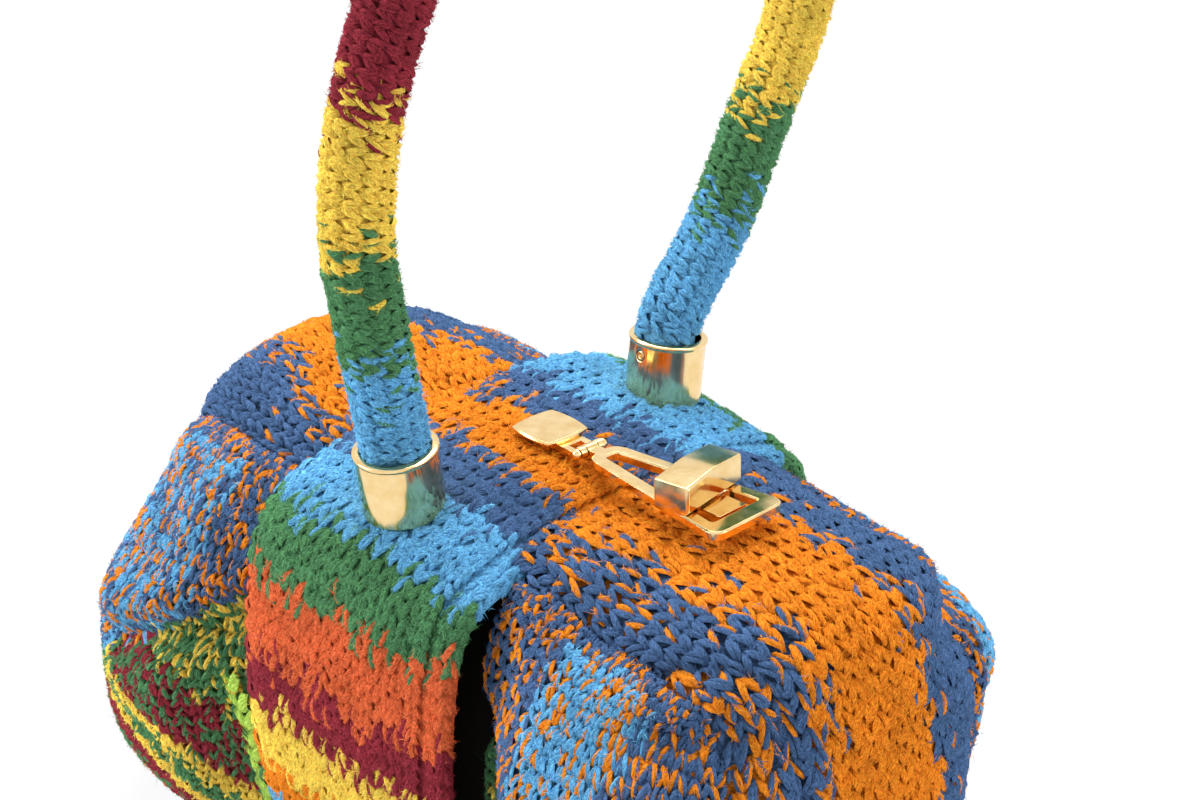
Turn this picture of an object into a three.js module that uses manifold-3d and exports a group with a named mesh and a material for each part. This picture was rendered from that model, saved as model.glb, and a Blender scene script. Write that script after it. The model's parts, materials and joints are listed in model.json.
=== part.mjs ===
// A soft crocheted handbag: a band over the top, a puffed lobe on each side, a handle and a hasp clasp.
// Millimetres, +Z up. The origin is on the floor, under the middle of the band.
import * as THREE from 'three';
import { ParametricGeometry } from 'three/addons/geometries/ParametricGeometry.js';
import { mergeVertices } from 'three/addons/utils/BufferGeometryUtils.js';
import Module from 'manifold-3d';

// Clearances
const GAP = 0.3;
const JOIN_DISTANCE = 1e-4;

// Base
const BASE_LENGTH = 230;
const BASE_DEPTH = 116;
const BASE_THICKNESS = 6;
const BASE_CORNER = 46;
const BOARD_LENGTH = 184;
const BOARD_DEPTH = 84;
const BOARD_THICKNESS = 2.5;
const BOARD_CORNER = 20;

// Band: the strip that forms the front panel, the top and the back panel
const TOP_HEIGHT = 178;
const BAND_WIDTH = 94;
const BAND_THICKNESS = 5.5;
const BAND_LEFT_DROP = 1.5;
const BAND_RIGHT_DROP = 6;
const BAND_EDGE_RADIUS = 3.4;
const SHOULDER_DROP = 4.6;
const FOLD_DEPTH = 154;
const FOLD_DROP = 17;
const BELLY_DEPTH = 174;
const BELLY_DROP = 88;
const HEM_DEPTH = 146;
const HEM_HEIGHT = 8;
const BAND_STEPS = 48;

// Lobes: each is a strip over the top and down the end, between two puffed faces
const LOBE_WALL = 6;
const CREASE_DEPTH = 6;
const FOLD_WIDTH = 11;
const BAND_ROOM = 30;
const LOBE_OVERLAP = 27;
const PINCH_REACH = 36;
const MOUTH_WIDTH = 7;
const TUCK = 4;
const TONGUE_HALF_DEPTH = 44;
const CREASE_SHARPNESS = 8;
const CREASE_FROM = -0.6;
const CREASE_FULL = 0.1;
const RIGHT_LOBE = {
  side: 1, length: 126, stripHalf: 50, creaseDrop: 12, puff: 11, bulge: 38, pinch: 0.45,
  slump: 9, bellyDrop: 100, foldDepth: 4, foldDrop: 62, foldSlope: 0.55,
};
const LEFT_LOBE = {
  side: -1, length: 130, stripHalf: 52, creaseDrop: 9, puff: 13, bulge: 45, pinch: 0.65,
  slump: 21, bellyDrop: 108, foldDepth: 6, foldDrop: 58, foldSlope: 0.5,
};
const UPPER_INNER_POWER = 4;
const UPPER_OUTER_POWER = 5;
const LOWER_INNER_POWER = 40;
const LOWER_OUTER_POWER = 3.4;
const FACE_SLICES = 8;
const STRIP_SLICES = 8;
const LOBE_STACKS = 40;
const LINING_STACKS = 40;
const SEARCH_STEPS = 40;

// Handle: a crocheted sleeve over a rope core, held in two metal ferrules
const SLEEVE_DIAMETER = 20.4;
const CORE_DIAMETER = 11;
const HANDLE_STEPS = 54;
const HANDLE_EXIT = 5;
const HANDLE_ROUTE = [
  [-63.5, 56], [-66.8, 88], [-61, 122], [-42, 162], [-4, 200], [46, 216],
  [95, 199], [121, 160], [115.5, 117], [98, 83.5], [80, 50],
];
const FERRULE_SPAN = 109.4;
const FERRULE_TILT = THREE.MathUtils.degToRad(6.75);
const FERRULE_HEIGHT = 22;
const FERRULE_WALL = 2.2;
const FERRULE_FLOOR = 4;
const FERRULE_RIM = 0.9;
const FERRULE_SEAT = 1.5;
const GRUB_DIAMETER = 3.2;
const GRUB_LENGTH = 2;
const GRUB_BELOW_RIM = 5.2;
const GRUB_SOCKET = 1.5;
const GRUB_SOCKET_DEPTH = 1;
const FERRULE_SCREW = { shank: 4, head: 8, headHeight: 2.4 };
const FERRULE_BITE = 2.6;
const WASHER_DIAMETER = 16;
const WASHER_THICKNESS = 1.2;
const WASHER_POCKET = 0.8;

// Clasp plate and hinge
const PLATE_X = 4.7;
const PLATE_SIZE = 19;
const PLATE_CAP = 1.5;
const PLATE_BEVEL = 0.5;
const PLATE_BULGE = 1.1;
const PLATE_BLOCK = 13;
const PLATE_HEIGHT = 3.8;
const PLATE_SCREW = { shank: 2.6, head: 5, headHeight: 1.4 };
const PLATE_SCREW_SPAN = 8;
const PLATE_SCREW_BITE = 1.2;
const BACKING_SIZE = 15;
const BACKING_THICKNESS = 1.2;
const BACKING_POCKET = 0.8;
const HINGE_REACH = 8.8;
const HINGE_HEIGHT = 3;
const PIN_DIAMETER = 1.9;
const PIN_HEAD = 3.8;
const LUG_THICKNESS = 2.2;
const LUG_RADIUS = 2.1;
const KNUCKLE_WIDTH = 4.4;

// Hasp, measured from the hinge axis along its length
const HASP_LENGTH = 68;
const HASP_THICKNESS = 3.2;
const HASP_NECK = 5;
const HASP_NARROW = 12;
const HASP_WIDE = 30;
const HASP_CORNER = 5;
const WINDOW_CORNER = 1.25;
const HASP_SIDE_BAR = 4.4;
const HASP_END_BAR = 6.4;
const HASP_BEVEL = 0.5;
const BRIDGE_WIDTH = 8;

// Turn knob on the hasp's bridge and the cam under it
const KNOB_X = 46.5;
const KNOB_LENGTH = 27.5;
const KNOB_WIDTH = 12.5;
const KNOB_HEIGHT = 10;
const KNOB_ARCH = 1.2;
const KNOB_BEVEL = 0.7;
const KNOB_YAW = THREE.MathUtils.degToRad(9);
const KNOB_SOCKET = 4;
const SPINDLE_DIAMETER = 3;
const SPINDLE_HEAD = 5.6;
const SPINDLE_HEAD_HEIGHT = 0.9;
const CAM_REACH = 8.6;
const CAM_WIDTH = 6;
const CAM_THICKNESS = 1.3;

// Lock base on the right lobe
const BOSS_SETBACK = 5;
const BOSS_LENGTH = 9;
const BOSS_WIDTH = 11;
const BOSS_BELOW_HASP = 0.4;
const LOCK_LENGTH = 24;
const LOCK_WIDTH = 12;
const LOCK_THICKNESS = 1.5;
const LOCK_EMBED = 0.6;
const LOCK_RIVET = { shank: 2.6, head: 5, headHeight: 1.3 };
const LOCK_RIVET_INSET = 3;
const LOCK_BACKING_MARGIN = 2;
const LOCK_BACKING_THICKNESS = 1.2;
const LOCK_POCKET = 1;

// Number of sides of round pieces and of steps in a curve
const FINE_SIDES = 36;
const ROUND_SIDES = 20;
const SMALL_SIDES = 14;
const CORE_SIDES = 8;
const HEX_SIDES = 6;
const CURVE_STEPS = 6;
const EDGE_STEPS = 3;
const DOME_STEPS = 4;
const STRAIGHT = 1;

// Colours and finishes
const COTTON_CROCHET = { color: 0x3f6ea8, roughness: 0.95, metalness: 0 };
const ORANGE_CROCHET = { color: 0xd97a1c, roughness: 0.95, metalness: 0 };
const NAVY_CROCHET = { color: 0x3a4f7d, roughness: 0.95, metalness: 0 };
const GREEN_CROCHET = { color: 0x3c7346, roughness: 0.95, metalness: 0 };
const ROPE = { color: 0xd8cfb8, roughness: 0.9, metalness: 0 };
const BOARD = { color: 0x6e6455, roughness: 0.85, metalness: 0 };
const GOLD = { color: 0xd9a441, roughness: 0.18, metalness: 1 };
const STEEL = { color: 0xb9bcc0, roughness: 0.35, metalness: 1 };

const wasm = await Module();
wasm.setup();

const bag = new THREE.Group();

// Adds one named piece to a group
function addPiece(parent, name, geometry, finish) {
  const mesh = new THREE.Mesh(geometry, new THREE.MeshStandardMaterial(finish));
  mesh.name = name;
  parent.add(mesh);
}

// Keeps only positions, joins shared corners, drops collapsed triangles and turns the faces outward
function closedGeometry(source) {
  const bare = source.clone();
  bare.deleteAttribute('normal');
  bare.deleteAttribute('uv');
  const joined = mergeVertices(bare, JOIN_DISTANCE);
  const corners = joined.index.array;
  const position = joined.attributes.position;
  const kept = [];
  const a = new THREE.Vector3();
  const b = new THREE.Vector3();
  const c = new THREE.Vector3();
  let volume = 0;
  for (let i = 0; i < corners.length; i += 3) {
    const [p, q, r] = [corners[i], corners[i + 1], corners[i + 2]];
    if (p === q || q === r || r === p) continue;
    kept.push(p, q, r);
    a.fromBufferAttribute(position, p);
    b.fromBufferAttribute(position, q);
    c.fromBufferAttribute(position, r);
    volume += a.dot(b.cross(c));
  }
  if (volume < 0) kept.reverse();
  joined.setIndex(kept);
  joined.computeVertexNormals();
  return joined;
}

function solidOf(geometry) {
  const closed = closedGeometry(geometry);
  const vertProperties = new Float32Array(closed.attributes.position.array);
  const triVerts = new Uint32Array(closed.index.array);
  return new wasm.Manifold(new wasm.Mesh({ numProp: 3, vertProperties, triVerts }));
}

function geometryOf(solid) {
  const mesh = solid.getMesh();
  const geometry = new THREE.BufferGeometry();
  geometry.setAttribute('position', new THREE.BufferAttribute(mesh.vertProperties, 3));
  geometry.setIndex(new THREE.BufferAttribute(mesh.triVerts, 1));
  geometry.computeVertexNormals();
  return geometry;
}

// Solid of a geometry that is given in a group's own frame
function solidIn(frame, geometry) {
  frame.updateMatrixWorld(true);
  return solidOf(geometry.clone().applyMatrix4(frame.matrixWorld));
}

// Box between two opposite corners
function boxBetween(low, high) {
  const size = low.map((value, i) => high[i] - value);
  const geometry = new THREE.BoxGeometry(...size);
  return geometry.translate(...low.map((value, i) => value + size[i] / 2));
}

// Upright cylinder from one height to another
function rodBetween(diameter, low, high, sides = SMALL_SIDES) {
  const geometry = new THREE.CylinderGeometry(diameter / 2, diameter / 2, high - low, sides);
  return geometry.rotateX(Math.PI / 2).translate(0, 0, (low + high) / 2);
}

// Turned piece about Z from a profile of radius and height pairs that closes on itself or on the axis
function turned(profile, sides = SMALL_SIDES) {
  const points = profile.map(([radius, height]) => new THREE.Vector2(radius, height));
  return closedGeometry(new THREE.LatheGeometry(points, sides).rotateX(Math.PI / 2));
}

// Screw or rivet with its head at the bottom: the shank stands on z = 0 and the head hangs below
function fastener({ shank, head, headHeight }, shankLength) {
  const dome = headHeight / 2;
  return turned([
    [0, -headHeight], [head / 2 - dome, -headHeight], [head / 2, -headHeight + dome], [head / 2, 0],
    [shank / 2, 0], [shank / 2, shankLength], [0, shankLength],
  ]);
}

function roundedRectangle(length, width, corner) {
  const [x, y] = [length / 2, width / 2];
  const shape = new THREE.Shape();
  shape.absarc(x - corner, y - corner, corner, 0, Math.PI / 2);
  shape.absarc(corner - x, y - corner, corner, Math.PI / 2, Math.PI);
  shape.absarc(corner - x, corner - y, corner, Math.PI, 1.5 * Math.PI);
  shape.absarc(x - corner, corner - y, corner, 1.5 * Math.PI, 2 * Math.PI);
  shape.closePath();
  return shape;
}

function slab(shape, low, high) {
  const options = { depth: high - low, bevelEnabled: false, curveSegments: CURVE_STEPS };
  return new THREE.ExtrudeGeometry(shape, options).translate(0, 0, low);
}

// Slab with a small bevel all around, inside the drawn outline and between the two heights
function beveledSlab(shape, low, high, bevel, curveSegments = CURVE_STEPS) {
  const geometry = new THREE.ExtrudeGeometry(shape, {
    depth: high - low - 2 * bevel,
    bevelThickness: bevel,
    bevelSize: bevel,
    bevelOffset: -bevel,
    bevelSegments: STRAIGHT,
    curveSegments,
  });
  return geometry.translate(0, 0, low + bevel);
}

// Base panel and the stiff board inside the bag
const lobeFloor = BASE_THICKNESS + GAP;
const boardHeight = lobeFloor + LOBE_WALL + GAP;
const baseShape = roundedRectangle(BASE_LENGTH, BASE_DEPTH, BASE_CORNER);
addPiece(bag, 'base_panel', closedGeometry(slab(baseShape, 0, BASE_THICKNESS)), NAVY_CROCHET);
const boardShape = roundedRectangle(BOARD_LENGTH, BOARD_DEPTH, BOARD_CORNER);
const board = slab(boardShape, boardHeight, boardHeight + BOARD_THICKNESS);
addPiece(bag, 'base_board', closedGeometry(board), BOARD);

// Line of the band's outer face in the side view, from the front hem over the top to the back hem
const bandHalf = [
  [HEM_DEPTH / 2, HEM_HEIGHT],
  [BELLY_DEPTH / 2, TOP_HEIGHT - BELLY_DROP],
  [FOLD_DEPTH / 2, TOP_HEIGHT - FOLD_DROP],
  [FERRULE_SPAN / 2, TOP_HEIGHT - SHOULDER_DROP],
];
const bandLine = new THREE.CatmullRomCurve3([
  ...bandHalf.map(([depth, height]) => new THREE.Vector3(0, -depth, height)),
  new THREE.Vector3(0, 0, TOP_HEIGHT),
  ...bandHalf.reverse().map(([depth, height]) => new THREE.Vector3(0, depth, height)),
]);

function bandSweep(shape) {
  return new THREE.ExtrudeGeometry(shape, {
    extrudePath: bandLine, steps: BAND_STEPS, bevelEnabled: false, curveSegments: EDGE_STEPS,
  });
}

// Crowned section of the band with a raised round row along both edges; its left edge points to +x here
function bandSection() {
  const edge = BAND_WIDTH / 2 - BAND_EDGE_RADIUS;
  const left = -BAND_LEFT_DROP - BAND_THICKNESS / 2;
  const right = -BAND_RIGHT_DROP - BAND_THICKNESS / 2;
  const outerPull = -(left + right) / 2 - BAND_EDGE_RADIUS;
  const innerPull = outerPull + 2 * (BAND_EDGE_RADIUS - BAND_THICKNESS);
  const shape = new THREE.Shape();
  shape.moveTo(-edge, right + BAND_EDGE_RADIUS);
  shape.quadraticCurveTo(0, outerPull, edge, left + BAND_EDGE_RADIUS);
  shape.absarc(edge, left, BAND_EDGE_RADIUS, Math.PI / 2, -Math.PI / 2, true);
  shape.quadraticCurveTo(0, innerPull, -edge, right - BAND_EDGE_RADIUS);
  shape.absarc(-edge, right, BAND_EDGE_RADIUS, -Math.PI / 2, -1.5 * Math.PI, true);
  return shape;
}

// Room of the band and of what lies over it, which the lobes keep clear of
function bandRoom() {
  const half = BAND_WIDTH / 2 + GAP;
  const under = -BAND_THICKNESS / 2 - BAND_EDGE_RADIUS - GAP;
  const shape = new THREE.Shape();
  shape.moveTo(-half, under - BAND_RIGHT_DROP);
  shape.lineTo(half, under - BAND_LEFT_DROP);
  shape.lineTo(half, BAND_ROOM);
  shape.lineTo(-half, BAND_ROOM);
  shape.closePath();
  return solidOf(bandSweep(shape));
}

// Ferrules: a frame stands in a shallow seat on the band's shoulder and leans outward
const seatWeb = BAND_THICKNESS - FERRULE_SEAT - WASHER_POCKET;
const washerTop = -seatWeb - GAP;
const screwSeat = washerTop - WASHER_THICKNESS - GAP;
const ferruleInner = SLEEVE_DIAMETER / 2 + GAP;
const ferruleOuter = ferruleInner + FERRULE_WALL;
const ferruleTop = GAP + FERRULE_HEIGHT;
const handleSeat = GAP + FERRULE_FLOOR + GAP;

function ferruleFrame(side) {
  const frame = new THREE.Group();
  frame.position.set(0, side * FERRULE_SPAN / 2, TOP_HEIGHT - SHOULDER_DROP);
  frame.rotation.x = -side * FERRULE_TILT;
  frame.translateZ(-FERRULE_SEAT);
  bag.add(frame);
  return frame;
}

// Rod that lies along the way from a ferrule towards the middle of the bag
function grubRod(side, diameter, near, far, sides) {
  const rod = rodBetween(diameter, near, far, sides);
  return rod.rotateX(side * Math.PI / 2).translate(0, 0, ferruleTop - GRUB_BELOW_RIM);
}

function ferrule(side) {
  const hole = FERRULE_SCREW.shank / 2 + GAP;
  const lip = FERRULE_RIM / 2;
  const body = turned([
    [hole, GAP], [ferruleOuter - lip, GAP],
    [ferruleOuter, GAP + lip], [ferruleOuter, ferruleTop - 2 * FERRULE_RIM],
    [ferruleOuter + lip, ferruleTop - FERRULE_RIM - lip], [ferruleOuter + lip, ferruleTop - lip],
    [ferruleOuter - lip, ferruleTop], [ferruleInner + lip, ferruleTop],
    [ferruleInner, ferruleTop - FERRULE_RIM], [ferruleInner, GAP + FERRULE_FLOOR],
    [hole, GAP + FERRULE_FLOOR], [hole, GAP],
  ], FINE_SIDES);
  const bore = grubRod(side, GRUB_DIAMETER + 2 * GAP, ferruleInner - GAP, ferruleOuter + GRUB_LENGTH);
  return geometryOf(solidOf(body).subtract(solidOf(bore)));
}

function grubScrew(side) {
  const outerEnd = ferruleInner + GRUB_LENGTH;
  const rod = grubRod(side, GRUB_DIAMETER, ferruleInner, outerEnd);
  const socket = grubRod(side, GRUB_SOCKET, outerEnd - GRUB_SOCKET_DEPTH, outerEnd + GAP, HEX_SIDES);
  return geometryOf(solidOf(rod).subtract(solidOf(socket)));
}

const ferruleFrames = { front: ferruleFrame(-1), back: ferruleFrame(1) };
const ferruleSides = { front: -1, back: 1 };
for (const [place, frame] of Object.entries(ferruleFrames)) {
  const side = ferruleSides[place];
  addPiece(frame, `${place}_ferrule`, ferrule(side), GOLD);
  addPiece(frame, `${place}_grub_screw`, grubScrew(side), GOLD);
  const hole = FERRULE_SCREW.shank / 2 + GAP;
  const washer = turned([
    [hole, washerTop - WASHER_THICKNESS], [WASHER_DIAMETER / 2, washerTop - WASHER_THICKNESS],
    [WASHER_DIAMETER / 2, washerTop], [hole, washerTop], [hole, washerTop - WASHER_THICKNESS],
  ], ROUND_SIDES);
  addPiece(frame, `${place}_washer`, washer, STEEL);
  const screw = fastener(FERRULE_SCREW, GAP + FERRULE_BITE - screwSeat).translate(0, 0, screwSeat);
  addPiece(frame, `${place}_ferrule_screw`, screw, STEEL);
}

// Handle: sleeve and core share one line from the floor of one ferrule to the floor of the other
function ferruleLine(frame) {
  frame.updateMatrixWorld(true);
  const exit = ferruleTop + HANDLE_EXIT;
  const heights = [handleSeat, (handleSeat + exit) / 2, exit];
  return heights.map((height) => frame.localToWorld(new THREE.Vector3(0, 0, height)));
}

const handleLine = new THREE.CatmullRomCurve3([
  ...ferruleLine(ferruleFrames.front),
  ...HANDLE_ROUTE.map(([depth, rise]) => new THREE.Vector3(0, depth, TOP_HEIGHT + rise)),
  ...ferruleLine(ferruleFrames.back).reverse(),
]);

function handleSweep(outer, inner, sides) {
  const shape = new THREE.Shape();
  shape.absarc(0, 0, outer, 0, 2 * Math.PI);
  if (inner > 0) shape.holes.push(new THREE.Path().absarc(0, 0, inner, 0, 2 * Math.PI, true));
  return closedGeometry(new THREE.ExtrudeGeometry(shape, {
    extrudePath: handleLine, steps: HANDLE_STEPS, bevelEnabled: false, curveSegments: sides / 2,
  }));
}

const coreRadius = CORE_DIAMETER / 2;
const sleeve = handleSweep(SLEEVE_DIAMETER / 2, coreRadius + GAP, SMALL_SIDES);
addPiece(bag, 'handle_sleeve', sleeve, GREEN_CROCHET);
addPiece(bag, 'handle_core', handleSweep(coreRadius, 0, CORE_SIDES), ROPE);

// Clasp plate with two hinge lugs, its backing plate inside the band and the screws between them
const lugInner = KNUCKLE_WIDTH / 2 + GAP;
const lugOuter = lugInner + LUG_THICKNESS;
const hingeOffset = PLATE_SIZE / 2 + HINGE_REACH;
const bandUnder = -GAP - BAND_THICKNESS + BACKING_POCKET;
const backingTop = bandUnder - GAP;
const plateScrewSeat = backingTop - BACKING_THICKNESS - GAP;
const plateScrewSpots = [-PLATE_SCREW_SPAN / 2, PLATE_SCREW_SPAN / 2];
const plateFrame = new THREE.Group();
plateFrame.position.set(PLATE_X, 0, TOP_HEIGHT + GAP);
bag.add(plateFrame);

// Rod along the hinge axis, in the frame of the plate
function hingeRod(diameter, width, sides) {
  return rodBetween(diameter, -width / 2, width / 2, sides).rotateX(Math.PI / 2);
}

function plateScrewHole(y, top) {
  return rodBetween(PLATE_SCREW.shank + 2 * GAP, plateScrewSeat, top).translate(0, y, 0);
}

function cushionShape(size, bulge) {
  const half = size / 2 - bulge;
  const shape = new THREE.Shape();
  shape.moveTo(-half, -half);
  shape.quadraticCurveTo(0, -half - 2 * bulge, half, -half);
  shape.quadraticCurveTo(half + 2 * bulge, 0, half, half);
  shape.quadraticCurveTo(0, half + 2 * bulge, -half, half);
  shape.quadraticCurveTo(-half - 2 * bulge, 0, -half, -half);
  return shape;
}

function claspPlate() {
  const half = PLATE_BLOCK / 2;
  const capLow = PLATE_HEIGHT - PLATE_CAP;
  const axis = HINGE_HEIGHT - GAP;
  const cushion = cushionShape(PLATE_SIZE, PLATE_BULGE);
  const bar = boxBetween([0, -lugOuter, 0], [PLATE_SIZE / 2 + LUG_THICKNESS, lugOuter, capLow]);
  let plate = solidOf(boxBetween([-half, -half, 0], [half, half, capLow + PLATE_CAP / 2]));
  plate = plate.add(solidOf(beveledSlab(cushion, capLow, PLATE_HEIGHT, PLATE_BEVEL)));
  plate = plate.add(solidOf(bar));
  for (const side of [-1, 1]) {
    const [near, far] = [side * lugInner, side * lugOuter].sort((p, q) => p - q);
    const arm = boxBetween([0, near, axis - LUG_RADIUS], [hingeOffset, far, capLow]);
    const eye = hingeRod(2 * LUG_RADIUS, LUG_THICKNESS).translate(hingeOffset, (near + far) / 2, axis);
    plate = plate.add(solidOf(arm)).add(solidOf(eye));
  }
  const bore = hingeRod(PIN_DIAMETER + 2 * GAP, PLATE_SIZE).translate(hingeOffset, 0, axis);
  const holes = plateScrewSpots.map((y) => plateScrewHole(y, PLATE_SCREW_BITE + GAP));
  for (const cut of [bore, ...holes]) plate = plate.subtract(solidOf(cut));
  return geometryOf(plate);
}

function claspBacking() {
  const half = BACKING_SIZE / 2;
  const box = boxBetween([-half, -half, backingTop - BACKING_THICKNESS], [half, half, backingTop]);
  let backing = solidOf(box);
  for (const y of plateScrewSpots) backing = backing.subtract(solidOf(plateScrewHole(y, 0)));
  return geometryOf(backing);
}

addPiece(plateFrame, 'clasp_plate', claspPlate(), GOLD);
addPiece(plateFrame, 'clasp_backing', claspBacking(), STEEL);
for (const [place, side] of Object.entries(ferruleSides)) {
  const screw = fastener(PLATE_SCREW, PLATE_SCREW_BITE - plateScrewSeat);
  screw.translate(0, side * PLATE_SCREW_SPAN / 2, plateScrewSeat);
  addPiece(plateFrame, `${place}_clasp_screw`, screw, STEEL);
}

// Hinge pin with a domed head at both ends
const pinHalf = lugOuter + GAP;
const pinHead = PIN_HEAD / 2;
const domeTurns = Array.from({ length: DOME_STEPS + 1 }, (_, i) => i / DOME_STEPS * Math.PI / 2);
const pinProfile = [
  ...domeTurns.map((turn) => [pinHead * Math.sin(turn), -pinHalf - pinHead * Math.cos(turn)]),
  [PIN_DIAMETER / 2, -pinHalf], [PIN_DIAMETER / 2, pinHalf],
  ...domeTurns.reverse().map((turn) => [pinHead * Math.sin(turn), pinHalf + pinHead * Math.cos(turn)]),
];
const pin = turned(pinProfile).rotateX(Math.PI / 2).translate(hingeOffset, 0, HINGE_HEIGHT - GAP);
addPiece(plateFrame, 'hinge_pin', pin, GOLD);

// Band with the seats and holes of what is fixed to it
function band() {
  let solid = solidOf(bandSweep(bandSection()));
  for (const frame of Object.values(ferruleFrames)) {
    const seat = rodBetween(2 * (ferruleOuter + GAP), 0, FERRULE_HEIGHT, FINE_SIDES);
    const pocketLow = screwSeat - BAND_THICKNESS;
    const pocket = rodBetween(WASHER_DIAMETER + 2 * GAP, pocketLow, -seatWeb, ROUND_SIDES);
    const hole = rodBetween(FERRULE_SCREW.shank + 2 * GAP, screwSeat, FERRULE_HEIGHT);
    for (const cut of [seat, pocket, hole]) solid = solid.subtract(solidIn(frame, cut));
  }
  const half = BACKING_SIZE / 2 + GAP;
  const pocket = boxBetween([-half, -half, bandUnder - BAND_ROOM], [half, half, bandUnder]);
  solid = solid.subtract(solidIn(plateFrame, pocket));
  for (const y of plateScrewSpots) solid = solid.subtract(solidIn(plateFrame, plateScrewHole(y, GAP)));
  return geometryOf(solid);
}

addPiece(bag, 'band', band(), COTTON_CROCHET);

// Point of a lobe's outline in the front view, which is square at the floor and round at the far end
const lobeSlices = 2 * FACE_SLICES + STRIP_SLICES;

function lobeEdge(lobe, inset, angle, lift) {
  const top = TOP_HEIGHT - lobe.creaseDrop;
  const halfX = lobe.length / 2 - inset;
  const halfZ = (top - lobeFloor) / 2 - inset;
  const [across, up] = [Math.cos(angle), Math.sin(angle)];
  const upper = across < 0 ? UPPER_INNER_POWER : UPPER_OUTER_POWER;
  const lower = across < 0 ? LOWER_INNER_POWER : LOWER_OUTER_POWER;
  const power = up > 0 ? upper : lower;
  const sum = Math.abs(across / halfX) ** power + Math.abs(up / halfZ) ** power;
  const reach = sum ** (-1 / power) + lift;
  const lean = across > 0 ? -lobe.slump * Math.sin(2 * angle) : 0;
  const start = BAND_WIDTH / 2 - LOBE_OVERLAP;
  return [start + lobe.length / 2 + reach * across + lean, (top + lobeFloor) / 2 + reach * up];
}

// Point of a lobe's surface, or of its hollow when inset by the wall.
// Along u it runs over the front face, across the strip and over the back face; v turns about the lobe.
function lobePoint(lobe, inset, u, v, target) {
  const angle = 2 * Math.PI * v;
  const slice = u * lobeSlices;
  const half = lobe.stripHalf - inset;
  const strip = (2 * slice - lobeSlices) / STRIP_SLICES;
  const rise = THREE.MathUtils.smoothstep(Math.sin(angle), CREASE_FROM, CREASE_FULL);
  if (Math.abs(strip) <= 1) {
    const lift = rise * (lobe.puff * (1 - strip * strip) - CREASE_DEPTH * strip ** CREASE_SHARPNESS);
    const [x, z] = lobeEdge(lobe, inset, angle, lift);
    return target.set(lobe.side * x, strip * half, z);
  }
  const turn = Math.min(slice, lobeSlices - slice) / FACE_SLICES * Math.PI / 2;
  const [edgeX, edgeZ] = lobeEdge(lobe, inset, angle, -rise * CREASE_DEPTH);
  const poleX = BAND_WIDTH / 2 - LOBE_OVERLAP + lobe.length / 2;
  const poleZ = TOP_HEIGHT - lobe.bellyDrop;
  const x = THREE.MathUtils.lerp(poleX, edgeX, Math.sin(turn));
  const z = THREE.MathUtils.lerp(poleZ, edgeZ, Math.sin(turn));
  const foldZ = TOP_HEIGHT - lobe.foldDrop - lobe.foldSlope * (x - BAND_WIDTH / 2);
  const fold = lobe.foldDepth * Math.sin(turn) * Math.exp(-(((z - foldZ) / FOLD_WIDTH) ** 2));
  const free = THREE.MathUtils.smoothstep(x, BAND_WIDTH / 2, BAND_WIDTH / 2 + PINCH_REACH);
  const bulge = lobe.bulge * THREE.MathUtils.lerp(lobe.pinch, 1, free) - fold;
  return target.set(lobe.side * x, Math.sign(strip) * (half + bulge * Math.cos(turn)), z);
}

function lobeSolid(lobe, inset, slices, stacks) {
  const surface = (u, v, target) => lobePoint(lobe, inset, u, v, target);
  return solidOf(new ParametricGeometry(surface, slices, stacks));
}

// The space that a lobe keeps: it ends under the band, and at the mouth its faces stop beside the band
function lobeRoom(lobe, mouth) {
  const far = BAND_WIDTH + lobe.length;
  const tucked = BAND_WIDTH / 2 - TUCK;
  const faces = mouth > 0 ? BAND_WIDTH / 2 + mouth : tucked;
  const boxes = [
    [[tucked, -TONGUE_HALF_DEPTH, 0], [far, TONGUE_HALF_DEPTH, 2 * TOP_HEIGHT]],
    [[faces, -BELLY_DEPTH, 0], [far, BELLY_DEPTH, 2 * TOP_HEIGHT]],
  ].map(([low, high]) => boxBetween(low, high));
  const [tongue, rest] = boxes.map((box) => solidOf(lobe.side > 0 ? box : box.rotateZ(Math.PI)));
  return tongue.add(rest);
}

function lobeShell(lobe, mouth) {
  const outside = lobeSolid(lobe, 0, lobeSlices, LOBE_STACKS);
  const hollow = lobeSolid(lobe, LOBE_WALL, lobeSlices / 2, LINING_STACKS);
  return outside.subtract(hollow).intersect(lobeRoom(lobe, mouth)).subtract(bandRoom());
}

addPiece(bag, 'left_lobe', geometryOf(lobeShell(LEFT_LOBE, 0)), ORANGE_CROCHET);

// Height of a lobe's strip along its middle line, at a distance from the middle of the bag
function lobeTop(lobe, distance) {
  const point = new THREE.Vector3();
  let [far, near] = [0, 0.5];
  for (let i = 0; i < SEARCH_STEPS; i += 1) {
    const v = (far + near) / 2;
    lobePoint(lobe, 0, 0.5, v, point);
    if (Math.abs(point.x) > distance) far = v;
    else near = v;
  }
  return point.z;
}

// Frame of the hasp: it starts at the hinge axis and leans so that the hasp lies over the lock base
const lockGap = 3 * GAP + CAM_THICKNESS + SPINDLE_HEAD_HEIGHT;
const haspUnder = -HASP_THICKNESS / 2;
const haspTop = HASP_THICKNESS / 2;
const lockTop = haspUnder - lockGap;
const lockSeat = lockTop - LOCK_THICKNESS - GAP;
const lockEnd = KNOB_X + BOSS_SETBACK + BOSS_LENGTH;
const hingeX = PLATE_X + hingeOffset;
const hingeZ = TOP_HEIGHT + HINGE_HEIGHT;
const lockMiddle = lockEnd - LOCK_LENGTH / 2;
const lobeHeight = lobeTop(RIGHT_LOBE, hingeX + lockMiddle);
const haspFrame = new THREE.Group();
haspFrame.position.set(hingeX, 0, hingeZ);
haspFrame.rotation.y = -Math.atan2(lobeHeight - LOCK_EMBED - lockSeat - hingeZ, lockMiddle);
bag.add(haspFrame);

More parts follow.
